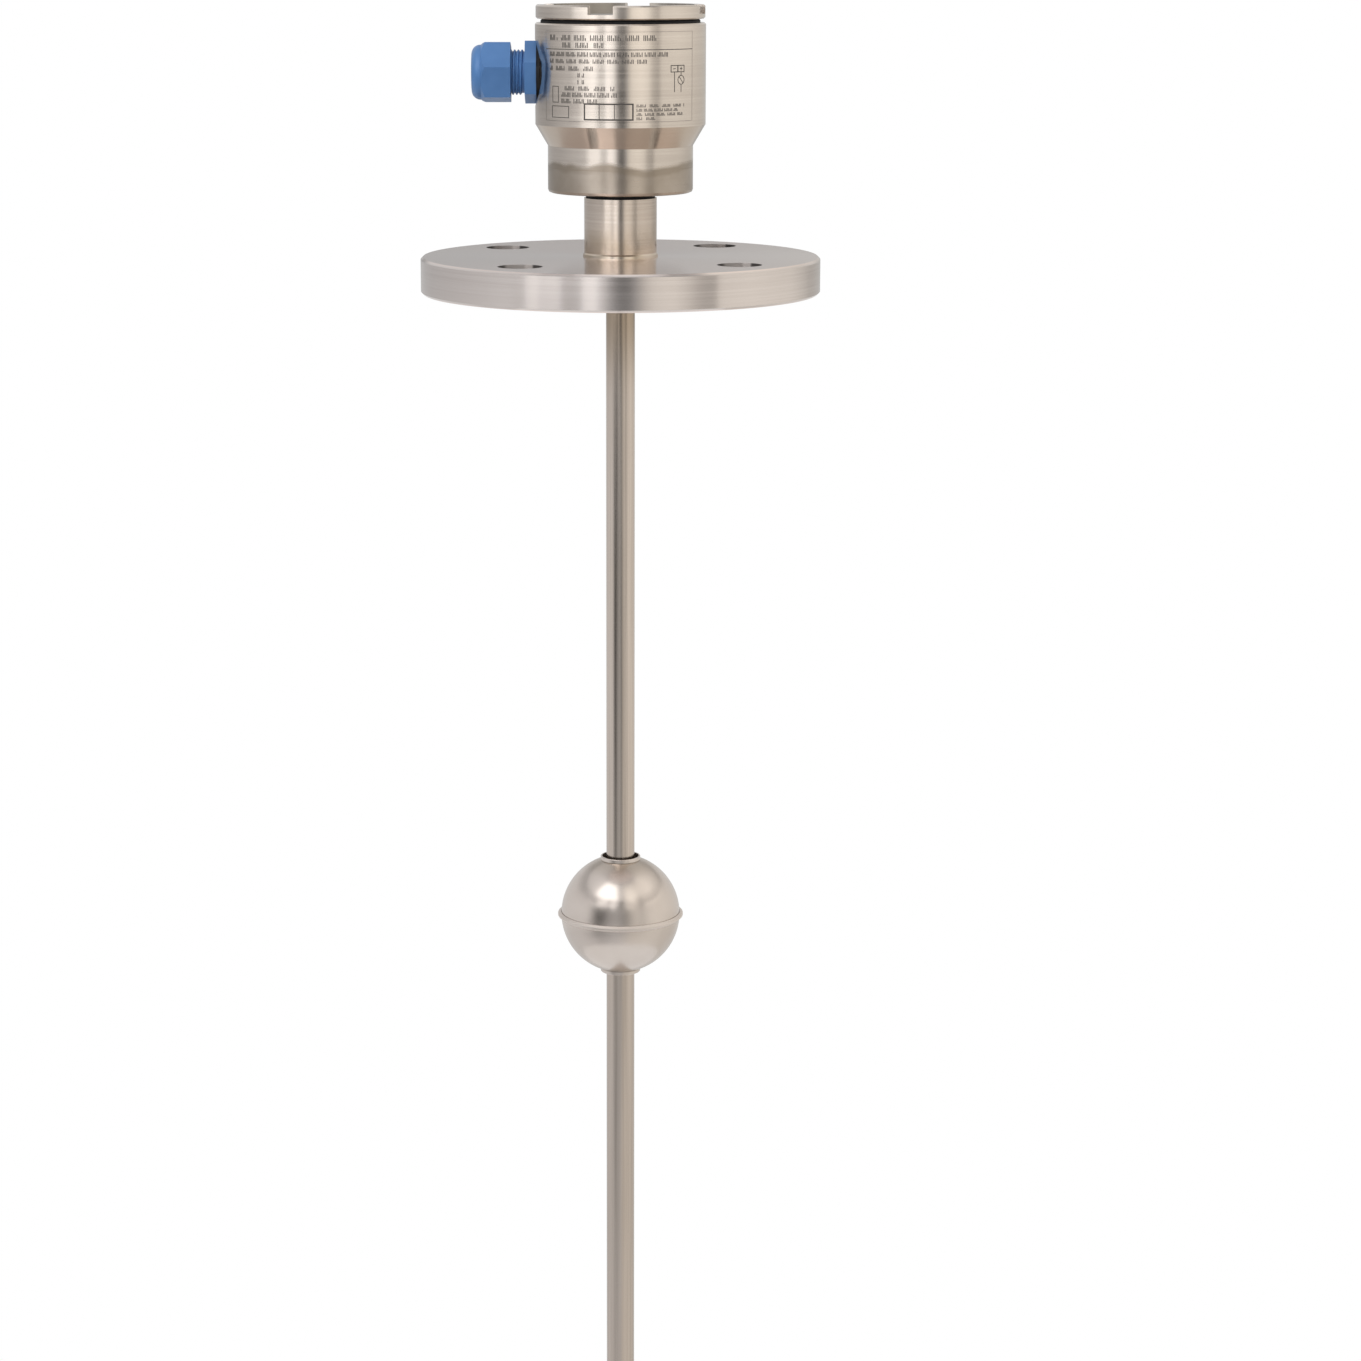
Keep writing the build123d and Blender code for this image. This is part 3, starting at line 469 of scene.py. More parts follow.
flange_steel = flange_finish()
print("made", flange_steel.name)

# %% [markdown]
# ## Tube steel
# The guide tube is drawn, so its lines run lengthwise: the same noise, squeezed hard across the tube
# and hardly along it. Near the flange the weld warmed it, and it is browner there in patches. A plain
# gradient would look airbrushed, so a second noise breaks the warm stretch up.

# %% Tube steel
TUBE_DARK, TUBE_PALE, TUBE_DULL = (0.53, 0.465, 0.415), (0.60, 0.53, 0.475), (0.48, 0.415, 0.36)
TUBE_WARM, TUBE_WARMED = (0.36, 0.29, 0.225), (-0.045, -0.003)


def tube_finish():
    material, tree, shader = new_finish("tube_steel", Metallic=1.0)
    drawn = cloud(tree, 1.0, 3.0, (900, 900, 9))
    cloudy = cloud(tree, 40.0, 3.0, (1, 1, 0.35))
    colour = mottle(tree, drawn, TUBE_DARK, TUBE_PALE)
    colour = blend_colours(tree, fade(tree, cloudy, 0.35, 0.75, 0.0, 0.25), colour, TUBE_DULL)
    near_weld = fade(tree, height_on_part(tree), *TUBE_WARMED)
    warmed = times(tree, near_weld, fade(tree, cloudy, 0.25, 0.6, 0.4, 1.0))
    coat(tree, shader, blend_colours(tree, warmed, colour, TUBE_WARM), vary(tree, drawn, 0.2, 0.26))
    raise_grain(tree, shader, drawn, GRAIN_DEPTH, 0.06)
    return material


tube_steel = tube_finish()
print("made", tube_steel.name)

# %% [markdown]
# ## Neck steel
# The neck is a turned tube with a straw-coloured blush above its weld to the flange. It could share the
# head's steel, but it is smoother and its gloss is less stretched, so it has its own.

# %% Neck steel
NECK_DARK, NECK_PALE = (0.585, 0.505, 0.44), (0.635, 0.56, 0.495)
NECK_STRAW, NECK_WARMED = (0.46, 0.37, 0.26), (0.034, 0.019)


def neck_finish():
    material, tree, shader = new_finish("neck_steel", Metallic=1.0, Anisotropic=0.35,
                                        Anisotropic_Rotation=QUARTER_TURN)
    rings = lathe_rings(tree, 1500.0, around=20.0)
    cloudy = cloud(tree, 70.0)
    colour = mottle(tree, rings, NECK_DARK, NECK_PALE)
    near_weld = fade(tree, height_on_part(tree), *NECK_WARMED)
    warmed = times(tree, near_weld, fade(tree, cloudy, 0.3, 0.65, 0.15, 0.7))
    coat(tree, shader, blend_colours(tree, warmed, colour, NECK_STRAW), vary(tree, cloudy, 0.17, 0.23))
    follow_turning(tree, shader)
    raise_grain(tree, shader, rings, GRAIN_DEPTH, 0.06)
    return material


neck_steel = neck_finish()
print("made", neck_steel.name)

# %% [markdown]
# ## Float steel
# The float is pressed from sheet and brushed to a satin, with a breath of heat colour round its welded
# collars. Its seam bead is rougher than the shells, and lighter in colour as a painted highlight along
# the bead. Both regions are rings, so one is found by the height above or below the seam, and the other
# by the distance from the axis.

# %% Float steel
FLOAT_DARK, FLOAT_PALE = (0.605, 0.54, 0.495), (0.645, 0.58, 0.535)
COLLAR_START, COLLAR_END, COLLAR_STRAW = (0.019, 0.0235), (0.0246, 0.0240), (0.42, 0.36, 0.295)
BEAD_PAINTED_HIGHLIGHT = (0.72, 0.655, 0.61)
FLOAT_GRAIN_DEPTH = 0.00006


def float_finish():
    material, tree, shader = new_finish("float_steel", Metallic=0.93)
    cloudy, fine = cloud(tree, 60.0), cloud(tree, 1400.0, 2.0)
    from_seam = sums(tree, "ABSOLUTE", sums(tree, "SUBTRACT", height_on_part(tree), FLOAT_SEAM))
    collar = times(tree, band(tree, from_seam, COLLAR_START, COLLAR_END), 0.55)
    bead = fade(tree, distance_from_axis(tree), FLOAT_RADIUS + 0.0001, FLOAT_RADIUS + 0.0004)
    colour = blend_colours(tree, collar, mottle(tree, cloudy, FLOAT_DARK, FLOAT_PALE), COLLAR_STRAW)
    # The bead's lighter colour is a painted highlight.
    colour = blend_colours(tree, times(tree, bead, 0.8), colour, BEAD_PAINTED_HIGHLIGHT)
    coat(tree, shader, colour, plus(tree, vary(tree, cloudy, 0.22, 0.27), times(tree, bead, 0.25)))
    raise_grain(tree, shader, plus(tree, cloudy, times(tree, fine, 0.03)), FLOAT_GRAIN_DEPTH, 0.30)
    return material


float_steel = float_finish()
print("made", float_steel.name)

# %% [markdown]
# ## Plastics and rubber
# The cable gland is moulded in blue polyamide with a faint spark-eroded grain, and its seals are matt
# black rubber. The module, board, chips, magnet and reeds only show when the cover is off or a part is
# hidden, and could stay grey, but each gets its own finish too. All of them are one recipe: a broad
# noise for colour, a fine one for roughness and grain.

# %% Plastics and rubber
def moulded(name, dark, pale, rough, grain=900.0, depth=0.00003, **values):
    material, tree, shader = new_finish(name, **values)
    fine = cloud(tree, grain, 2.0)
    colour = mottle(tree, cloud(tree, 90.0), dark, pale)
    coat(tree, shader, colour, vary(tree, fine, rough - 0.05, rough + 0.05))
    raise_grain(tree, shader, fine, depth, 0.3)
    return material


blue_polyamide = moulded("blue_polyamide", (0.050, 0.146, 0.345), (0.060, 0.166, 0.380), 0.38)
black_rubber = moulded("black_rubber", (0.006, 0.006, 0.007), (0.012, 0.012, 0.013), 0.7, 700.0,
                       Specular_IOR_Level=0.25)
module_resin = moulded("module_resin", (0.030, 0.031, 0.034), (0.042, 0.043, 0.047), 0.5, 1200.0)
board_lacquer = moulded("board_lacquer", (0.02, 0.14, 0.05), (0.03, 0.19, 0.07), 0.35, 1500.0)
chip_ceramic = moulded("chip_ceramic", (0.015, 0.015, 0.016), (0.035, 0.035, 0.036), 0.55, 2500.0)
wire_insulation = moulded("wire_insulation", (0.45, 0.03, 0.025), (0.55, 0.045, 0.035), 0.35, 1500.0)
ferrite = moulded("ferrite", (0.035, 0.035, 0.038), (0.07, 0.07, 0.074), 0.6, 1100.0)
reed_glass = moulded("reed_glass", (0.55, 0.80, 0.62), (0.65, 0.88, 0.72), 0.08, 600.0, 0.00001,
                     Transmission_Weight=0.9, IOR=1.5)
print("plastics and rubbers: 8")

# %% [markdown]
# ## Small metal parts
# Most small metal parts are plated, and the terminal clamps and the earth screw are brass. They could
# have turning lines too, but they are too small to show any, so a metal with a fine uneven gloss is
# enough.

# %% Small metal parts
def small_metal(name, dark, pale, rough):
    material, tree, shader = new_finish(name, Metallic=1.0)
    fine = cloud(tree, 1600.0)
    colour = mottle(tree, cloud(tree, 180.0), dark, pale)
    coat(tree, shader, colour, vary(tree, fine, rough - 0.06, rough + 0.06))
    raise_grain(tree, shader, fine, GRAIN_DEPTH, 0.3)
    return material


plated_steel = small_metal("plated_steel", (0.56, 0.56, 0.55), (0.68, 0.68, 0.67), 0.28)
brass = small_metal("brass", (0.68, 0.48, 0.20), (0.78, 0.58, 0.27), 0.27)
print("small metals: 2")

# %% [markdown]
# ## Dress the CAD parts
# Each CAD part keeps its shape and gets its finish. We could list a finish for every part, but the
# record names one material slot per part already, so only parts that differ from their slot's usual
# finish are listed by name. The stop collar takes the cover's steel, because that one has no film.

# %% Dress the CAD parts
BY_SLOT = {
    "turned_steel": head_steel, "flange_steel": flange_steel, "tube_steel": tube_steel,
    "float_steel": float_steel, "plated_steel": plated_steel, "blue_polyamide": blue_polyamide,
    "black_rubber": black_rubber, "magnet": ferrite, "module_resin": module_resin, "brass": brass,
    "board": board_lacquer, "reed_glass": reed_glass, "resistor": chip_ceramic, "lead": wire_insulation,
}
BY_NODE = {"cover": cover_steel, "stop_collar": cover_steel, "neck_tube": neck_steel}
for part in frame["record"]["subparts"]:
    finish = BY_NODE.get(part["node"], BY_SLOT[part["material_slot"]])
    node = frame["nodes"][part["node"]]
    node.data.materials.clear()
    node.data.materials.append(finish)

# %% [markdown]
# ## Helpers for modelled pieces
# New pieces are modelled as by hand: a primitive is added, shaped in edit mode and finished with
# modifiers. After loading, all CAD parts are selected, and an operator would work on them too, so we
# always clear the selection first.

# %% Helpers for modelled pieces
UPRIGHT = (math.radians(90), 0, 0)


def start(add_primitive, name, **settings):
    """Adds a primitive as a new object, with nothing else selected."""
    bpy.ops.object.select_all(action="DESELECT")
    add_primitive(**settings)
    piece = bpy.context.active_object
    piece.name = name
    return piece


def select_only(pieces):
    bpy.ops.object.select_all(action="DESELECT")
    for piece in pieces:
        piece.select_set(True)
    bpy.context.view_layer.objects.active = pieces[0]


def settle(piece):
    """Puts place, turn and scale into the mesh, so that the object sits at the origin."""
    select_only([piece])
    bpy.ops.object.transform_apply(location=True, rotation=True, scale=True)


def apply_modifiers(piece):
    select_only([piece])
    for modifier in list(piece.modifiers):
        bpy.ops.object.modifier_apply(modifier=modifier.name)


def edit(selected="DESELECT", kind="VERT"):
    """Opens the active piece for editing, with everything or nothing of it selected."""
    bpy.ops.object.mode_set(mode="EDIT")
    bpy.ops.mesh.select_mode(type=kind)
    bpy.ops.mesh.select_all(action=selected)


def dress(piece, finish, body):
    piece.data.materials.clear()
    piece.data.materials.append(finish)
    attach(piece, body)
    print(piece.name, "has", len(piece.data.polygons), "faces")


print("modelling helpers ready")

# %% [markdown]
# ## Gland thread
# Between the gland's flange and its dome nut, some turns of thread show. The CAD part has only the
# plain core, because a true helix is heavy there. One ridge section is drawn as a flat face, its
# outer edge is pinched to the crest, and the Screw modifier sweeps it round the gland's axis.

# %% Gland thread
THREAD_START, THREAD_TURNS = -0.0398, 6
THREAD_ROOT, THREAD_CREST, THREAD_PITCH = 0.00832, 0.00915, 0.0015
RIDGE_FOOT, CREST_SHARE = THREAD_PITCH * 0.92, 0.3
STEPS_PER_TURN = 72
ridge_middle = (THREAD_ROOT + THREAD_CREST) / 2
thread = start(bpy.ops.mesh.primitive_plane_add, "gland_thread", size=1,
               location=(THREAD_START, ridge_middle, 0))
thread.scale = (RIDGE_FOOT, THREAD_CREST - THREAD_ROOT, 1)
settle(thread)
edit()
section = bmesh.from_edit_mesh(thread.data)
for point in section.verts:
    point.select_set(point.co.y > ridge_middle)
section.select_flush(True)
bmesh.update_edit_mesh(thread.data)
bpy.ops.transform.resize(value=(CREST_SHARE, 1, 1), center_override=(THREAD_START, 0, 0))
bpy.ops.object.mode_set(mode="OBJECT")
print("ridge section:", round(THREAD_CREST - THREAD_ROOT, 5), "m high")

# %% [markdown]
# ## Sweep the thread
# The sweep could end in open ridges, whose dark insides would show, so the doubled points are merged,
# the ends are filled, and the faces are turned outwards before the thread is lifted to the gland's axis.

# %% Sweep the thread
sweep = thread.modifiers.new("sweep", "SCREW")
sweep.axis = "X"
sweep.steps = sweep.render_steps = STEPS_PER_TURN
sweep.screw_offset = -THREAD_PITCH
sweep.iterations = THREAD_TURNS
sweep.use_normal_calculate = True
apply_modifiers(thread)
edit("SELECT")
bpy.ops.mesh.remove_doubles(threshold=0.00001)
bpy.ops.mesh.fill_holes(sides=4)
bpy.ops.mesh.normals_make_consistent(inside=False)
bpy.ops.transform.translate(value=(0, 0, GLAND_HEIGHT))
bpy.ops.object.mode_set(mode="OBJECT")
bpy.ops.object.shade_smooth_by_angle(angle=math.radians(30))
dress(thread, blue_polyamide, "root")

# %% [markdown]
# ## Etching tools
# A data field is laser-etched on the front of the housing. It is drawn flat, as on paper, and bent
# round the housing in one go. Each line could be a plane of its own shape, but grids serve for all:
# a rule is a row of cells that can bend, and a row of marks is a grid whose unwanted cells are deleted.

# %% Etching tools
CELL_LENGTH = 0.0015
etched = []


def flat_strip(left, bottom, width, height, cells=1, levels=1):
    strip = start(bpy.ops.mesh.primitive_grid_add, "strip", x_subdivisions=cells, y_subdivisions=levels,
                  size=1, location=(left + width / 2, 0, bottom + height / 2), rotation=UPRIGHT)
    strip.scale = (width, height, 1)
    settle(strip)
    etched.append(strip)
    return strip


def frame_of_rules(left, bottom, width, height, line):
    cells = max(1, round(width / CELL_LENGTH))
    for rule_bottom in (bottom, bottom + height - line):
        flat_strip(left, rule_bottom, width, line, cells)
    for rule_left in (left, left + width - line):
        flat_strip(rule_left, bottom + line, line, height - 2 * line)


print("rules ready")

# %% [markdown]
# ## Rows of marks
# A row is a fence of upright ticks in groups, some of them short. Random lengths would differ on each
# run, so a fixed rule of whole numbers picks the gaps, and each row's pattern number shifts it.

# %% Rows of marks
def row_of_ticks(left, bottom, width, height, pitch, pattern):
    columns = 2 * max(2, round(width / pitch))
    strip = flat_strip(left, bottom, width, height, columns, 2)
    edit(kind="FACE")
    cells = bmesh.from_edit_mesh(strip.data)
    for face in cells.faces:
        middle = face.calc_center_median()
        tick, gap = divmod(int((middle.x - left) / width * columns), 2)
        upper = middle.z > bottom + height / 2
        between_groups = (tick + pattern) % (9 + pattern % 3) > 7
        short = upper and (tick * 5 + pattern) % 4 == 1
        face.select_set(bool(gap) or between_groups or short)
    bmesh.update_edit_mesh(strip.data)
    bpy.ops.mesh.delete(type="FACE")
    bpy.ops.object.mode_set(mode="OBJECT")


print("rows of marks ready")

# %% [markdown]
# ## Etched data field
# The field has a faint outline, a heading rule, rows of ticks in three heights and a few ruled boxes.
# The rows could be spread evenly, but such a field has short and long rows and gaps between its
# groups, so each row has its own line in the list.

# %% Etched data field
FAINT, THIN, BOLD = 0.00010, 0.00030, 0.00060
FIELD_LEFT, FIELD_RIGHT = -0.0362, 0.0341
FIELD_BOTTOM, FIELD_TOP, HEADING_RULE = 0.0744, 0.1100, 0.10275
HEADING_CELLS = 46
WIDE, MIDDLE, CLOSE, SMALL = 0.00072, 0.00062, 0.00060, 0.00050
TICK_ROWS = (
    # left, bottom, width, height, pitch, pattern
    (-0.0330, 0.10640, 0.0050, 0.0022, WIDE, 3),
    (-0.0262, 0.10640, 0.0420, 0.0022, WIDE, 1),
    (-0.0255, 0.10355, 0.0190, 0.0021, WIDE, 2),
    (-0.0330, 0.10010, 0.0540, 0.0018, MIDDLE, 3),
    (-0.0330, 0.09740, 0.0440, 0.0017, CLOSE, 4),
    (-0.0330, 0.09450, 0.0220, 0.0018, MIDDLE, 5),
    (-0.0180, 0.09190, 0.0032, 0.0017, MIDDLE, 6),
    (-0.0180, 0.08920, 0.0032, 0.0017, MIDDLE, 7),
    (-0.0262, 0.08665, 0.0240, 0.0018, MIDDLE, 8),
    (-0.0262, 0.08410, 0.0250, 0.0018, MIDDLE, 9),
    (-0.0262, 0.08160, 0.0170, 0.0018, MIDDLE, 10),
    (0.0065, 0.08020, 0.0225, 0.0012, SMALL, 11),
    (0.0065, 0.07850, 0.0190, 0.0012, SMALL, 12),
    (0.0065, 0.07680, 0.0215, 0.0012, SMALL, 13),
    (0.0065, 0.07515, 0.0085, 0.0012, SMALL, 14),
)
frame_of_rules(FIELD_LEFT, FIELD_BOTTOM, FIELD_RIGHT - FIELD_LEFT, FIELD_TOP - FIELD_BOTTOM, FAINT)
flat_strip(FIELD_LEFT, HEADING_RULE, FIELD_RIGHT - FIELD_LEFT, THIN, HEADING_CELLS)
for row in TICK_ROWS:
    row_of_ticks(*row)
print("rows of ticks:", len(TICK_ROWS))

# %% [markdown]
# ## Ruled boxes
# Under the rows stands a bold box in three compartments, and at the left stand two plain boxes. The
# bold one could be three boxes side by side, but their shared walls would double, so it is one box
# with two dividers.

# %% Ruled boxes
BOX_BOTTOM, BOX_HEIGHT = 0.0750, 0.0068
DIVIDERS = (-0.0088, -0.0026)
BOXES = (
    # left, bottom, width, height, line
    (-0.0152, BOX_BOTTOM, 0.0205, BOX_HEIGHT, BOLD),
    (-0.0315, 0.0817, 0.0038, 0.0066, THIN),
    (-0.0318, 0.0757, 0.0096, 0.0048, THIN),
)
for box in BOXES:
    frame_of_rules(*box)
for divider in DIVIDERS:
    flat_strip(divider, BOX_BOTTOM + BOLD, THIN, BOX_HEIGHT - 2 * BOLD)
print("etched strips:", len(etched))

# %% [markdown]
# ## Wiring symbol
# At the right stands a plain wiring symbol: two cells with minus and plus, a wire down from each, and
# a meter in the right one. It could be drawn as curves, but the same strips do for all of its lines.

# %% Wiring symbol
SYMBOL_X, FROM_MIDDLE, LEFT_WIRE = 0.0252, 0.0018, 0.00175
CELL_WIDTH, CELL_HEIGHT, CELL_BOTTOM, CELL_LINE = 0.0038, 0.0029, 0.0938, 0.00035
SIGN_Z, MINUS_WIDTH, PLUS_HEIGHT = 0.09525, 0.0014, 0.0015
METER_X, METER_Z, METER_RADIUS = SYMBOL_X + FROM_MIDDLE, 0.0908, 0.0019
WIRE_BOTTOM, OVERLAP = 0.0860, 0.0001


def upright_line(middle, bottom, top):
    flat_strip(middle - THIN / 2, bottom, THIN, top - bottom)


for side in (-1, 1):
    cell_x = SYMBOL_X + side * FROM_MIDDLE
    frame_of_rules(cell_x - CELL_WIDTH / 2, CELL_BOTTOM, CELL_WIDTH, CELL_HEIGHT, CELL_LINE)
    flat_strip(cell_x - MINUS_WIDTH / 2, SIGN_Z - THIN / 2, MINUS_WIDTH, THIN)
upright_line(METER_X, SIGN_Z - PLUS_HEIGHT / 2, SIGN_Z + PLUS_HEIGHT / 2)
upright_line(SYMBOL_X - LEFT_WIRE, WIRE_BOTTOM, CELL_BOTTOM)
upright_line(METER_X, METER_Z + METER_RADIUS - OVERLAP, CELL_BOTTOM)
upright_line(METER_X, WIRE_BOTTOM, METER_Z - METER_RADIUS + OVERLAP)
print("cells and wires drawn")

# %% [markdown]
# ## Meter
# The meter is a ring with a slanted needle. A torus would be far too heavy for a flat mark, so a disc
# is inset by the line's width and its middle deleted. The needle is drawn upright and then turned.

# %% Meter
NEEDLE_HALF, NEEDLE_SLANT = 0.0016, math.radians(40)
meter = start(bpy.ops.mesh.primitive_circle_add, "meter", vertices=32, radius=METER_RADIUS,
              fill_type="NGON", location=(METER_X, 0, METER_Z), rotation=UPRIGHT)
settle(meter)
edit("SELECT", "FACE")
bpy.ops.mesh.inset(thickness=THIN)
bpy.ops.mesh.delete(type="FACE")
bpy.ops.object.mode_set(mode="OBJECT")
etched.append(meter)
upright_line(METER_X, METER_Z - NEEDLE_HALF, METER_Z + NEEDLE_HALF)
edit("SELECT")
bpy.ops.transform.rotate(value=NEEDLE_SLANT, orient_axis="Y", center_override=(METER_X, 0, METER_Z))
bpy.ops.object.mode_set(mode="OBJECT")
print("etched pieces:", len(etched))

# %% [markdown]
# ## Wrap the etching round the housing
# The drawing is joined and bent to the housing's radius, a hair outside the steel. Every point could
# be moved in code, but the Simple Deform modifier bends the whole sheet by one angle, which is the
# drawing's width divided by the radius.

# %% Wrap the etching round the housing
ETCH_LIFT = 0.00004
ETCH_RADIUS = HOUSING_RADIUS + ETCH_LIFT
bend_angle = (FIELD_RIGHT - FIELD_LEFT) / ETCH_RADIUS
select_only(etched)
bpy.ops.object.join()
etching = bpy.context.active_object
etching.name = "etched_data_field"
bend = etching.modifiers.new("wrap", "SIMPLE_DEFORM")
bend.deform_method = "BEND"
bend.deform_axis = "Z"
bend.angle = bend_angle
apply_modifiers(etching)
bpy.ops.transform.translate(value=(0, -ETCH_RADIUS, 0))
settle(etching)
print("bent by", round(math.degrees(bend_angle), 1), "degrees")

# %% [markdown]
# ## Etching finish
# A laser mark is a dull, dark oxide that still has a little metal in it. Pure black would look
# printed, so the mark is a warm near-black that a fine noise makes uneven.

# %% Etching finish
MARK_DARK, MARK_PALE = (0.035, 0.030, 0.027), (0.080, 0.070, 0.062)


def etching_finish():
    material, tree, shader = new_finish("etched_marks", Metallic=0.2)
    fine = cloud(tree, 1500.0, 2.0)
    coat(tree, shader, blend_colours(tree, fine, MARK_DARK, MARK_PALE), vary(tree, fine, 0.5, 0.65))
    return material


dress(etching, etching_finish(), "root")

# %% [markdown]
# ## Light round the studio
# Steel shows its surroundings, so the studio is most of its look. In the photograph a large soft
# light stands at the front left, a warm wall at the right, and a dark gap between them, which gives
# the bright and dark stripes on every round part. We could place cards one by one, but one light tent
# round the object, seen only in reflections, is easier to read. Each entry below gives a height, the
# brightness straight behind the object, and the brightness round the wall in between, in degrees to
# the right of the camera's side. The camera looks down, so an upright wall mirrors the tent a little
# below its own height: the housing shows mostly the entry at 0.080, the head's base that at 0.031, the
# neck that at -0.004, the flange's rim that at -0.035, and tube and float those below. The float's
# upper half leans back and shows the entries above.

# %% Light round the studio
TENT_LEVELS = (
    (-0.62, 0.70, ((-83, 0.76), (-52, 0.66), (-42, 0.56), (-25, 0.63), (0, 0.72), (20, 0.80), (60, 0.85),
                   (109, 0.76))),
    (-0.52, 0.68, ((-83, 0.74), (-62, 0.58), (-50, 0.38), (-30, 0.42), (-2, 0.56), (20, 0.74), (60, 0.82),
                   (109, 0.76))),
    (-0.44, 0.72, ((-120, 0.80), (-65, 0.80), (-52, 0.60), (-42, 0.50), (-28, 0.56), (-5, 0.62), (7, 0.54),
                   (20, 0.70), (42, 0.70), (60, 0.88), (110, 0.80))),
    (-0.34, 0.72, ((-120, 0.82), (-68, 0.84), (-58, 0.55), (-47, 0.20), (-36, 0.18), (-28, 0.42),
                   (-16, 0.56), (-5, 0.54), (7, 0.34), (14, 0.44), (20, 0.64), (30, 0.82), (42, 0.64),
                   (55, 0.86), (75, 0.98), (110, 0.88))),
    (-0.22, 0.72, ((-120, 0.82), (-70, 0.88), (-60, 0.76), (-52, 0.34), (-46, 0.08), (-36, 0.07),
                   (-28, 0.24), (-17, 0.42), (-5, 0.42), (7, 0.28), (14, 0.40), (20, 0.62), (30, 0.82),
                   (42, 0.62), (50, 0.80), (58, 0.95), (75, 1.00), (110, 0.90))),
    (-0.09, 0.72, ((-120, 0.80), (-72, 0.84), (-62, 0.72), (-54, 0.24), (-42, 0.14), (-28, 0.24),
                   (-18, 0.42), (-5, 0.50), (4, 0.34), (12, 0.34), (20, 0.62), (30, 0.84), (40, 0.68),
                   (47, 0.70), (55, 0.88), (75, 1.00), (110, 0.90))),
    (-0.035, 0.58, ((-130, 0.55), (-100, 0.72), (-75, 0.88), (-60, 1.18), (-52, 1.20), (-50, 1.95),
                    (-45, 1.75), (-42, 1.10), (-32, 1.32), (-30, 0.30), (-21, 0.20), (-19, 1.45),
                    (-13, 1.60), (-10, 0.34), (-5, 0.27), (0, 0.11), (4, 0.16), (7, 0.46), (13, 1.02),
                    (17, 1.24), (27, 1.20), (35, 0.82), (43, 0.48), (51, 0.42), (53, 1.38), (82, 1.27),
                    (106, 1.12), (130, 0.50))),
    (-0.004, 0.50, ((-133, 0.56), (-75, 0.58), (-62, 0.48), (-53, 0.50), (-45, 1.50), (-30, 1.80),
                    (-14, 1.80), (-9, 1.55), (-5, 0.42), (0, 0.26), (5, 0.36), (10, 0.60), (17, 0.88),
                    (24, 0.84), (36, 0.64), (50, 0.46), (71, 0.55), (92, 0.50), (119, 0.52), (142, 0.50))),
    (0.031, 0.54, ((-100, 0.50), (-72, 0.56), (-57, 0.55), (-52, 1.30), (-42, 1.48), (-35, 1.15),
                   (-30, 0.80), (-25, 0.90), (-21, 1.30), (-9, 1.55), (-5, 0.75), (-1, 0.08), (4, 0.05),
                   (8, 0.36), (13, 0.95), (36, 1.12), (42, 0.66), (51, 0.52), (56, 0.84), (82, 0.82),
                   (104, 0.84), (137, 0.67))),
    (0.080, 0.45, ((-127, 0.35), (-108, 0.34), (-91, 0.46), (-74, 0.60), (-62, 0.50), (-57, 0.55),
                   (-50, 0.78), (-43, 1.02), (-37, 1.48), (-33, 1.35), (-29, 0.60), (-26, 0.18),
                   (-21, 0.18), (-18, 1.25), (-13, 1.08), (-8, 0.62), (-4, 0.18), (0, 0.02), (5, 0.02),
                   (8, 0.36), (13, 1.00), (28, 1.26), (36, 1.10), (43, 0.60), (50, 0.42), (56, 0.92),
                   (82, 0.94), (105, 0.90), (140, 0.72))),
    (0.17, 0.68, ((-148, 0.76), (-106, 0.84), (-70, 0.95), (-61, 2.40), (-8, 2.40), (-4, 1.00), (4, 0.75),
                  (10, 0.80), (16, 1.50), (26, 1.55), (38, 1.30), (50, 0.95), (62, 1.15), (81, 1.30),
                  (100, 1.10), (130, 0.84))),
    (0.30, 0.68, ((-148, 0.78), (-106, 0.86), (-70, 0.95), (-61, 2.40), (-12, 2.40), (-6, 0.90), (6, 0.78),
                  (12, 1.10), (20, 1.42), (42, 1.36), (50, 1.05), (62, 1.20), (93, 1.25), (110, 1.05),
                  (140, 0.78))),
    (0.90, 0.60, ((-120, 0.74), (-70, 0.85), (-61, 2.40), (-16, 2.40), (-10, 0.75), (6, 0.55), (12, 0.80),
                  (20, 1.00), (42, 1.00), (50, 0.85), (75, 0.95), (93, 1.05), (110, 0.90), (140, 0.72))),
    (1.15, 0.42, ()),
)
print("tent levels:", len(TENT_LEVELS))

# %% [markdown]
# ## Brightness round the tent
# A colour ramp bent round the object gives one level of the tent: its left end and its right end meet
# straight behind the object. Ramp colours shouldn't pass 1, so they are divided by the tent's strength,
# and the side from 8 to 170 degrees is a little warmer, as the wall there is.

# %% Brightness round the tent
TENT_STRENGTH = 2.5
WARM_TINT = (1, 0.965, 0.90)


def azimuth_ramp(tree, azimuth, behind, between):
    ramp = add(tree, "ShaderNodeValToRGB")
    feed(tree, azimuth, ramp.inputs["Fac"])
    stops = ((-180, behind), *between, (180, behind))
    elements = ramp.color_ramp.elements
    while len(elements) < len(stops):
        elements.new(0.5)
    for element, (degrees, level) in zip(elements, stops):
        element.position = (degrees + 180) / 360
        tint = WARM_TINT if 8 < degrees < 170 else (1, 1, 1)
        element.color = (*(level / TENT_STRENGTH * share for share in tint), 1)
    return ramp.outputs["Color"]


print("tent strength:", TENT_STRENGTH)

# %% [markdown]
# ## Light tent
# The tent is an open cylinder whose inside glows. Its levels fade into each other with height. It could
# light everything, but then its stripes would fall on the plastic too, so every ray but the glossy
# ones passes through it.

# %% Light tent
TENT_RADIUS, TENT_BOTTOM, TENT_TOP = 0.5, -0.80, 2.0


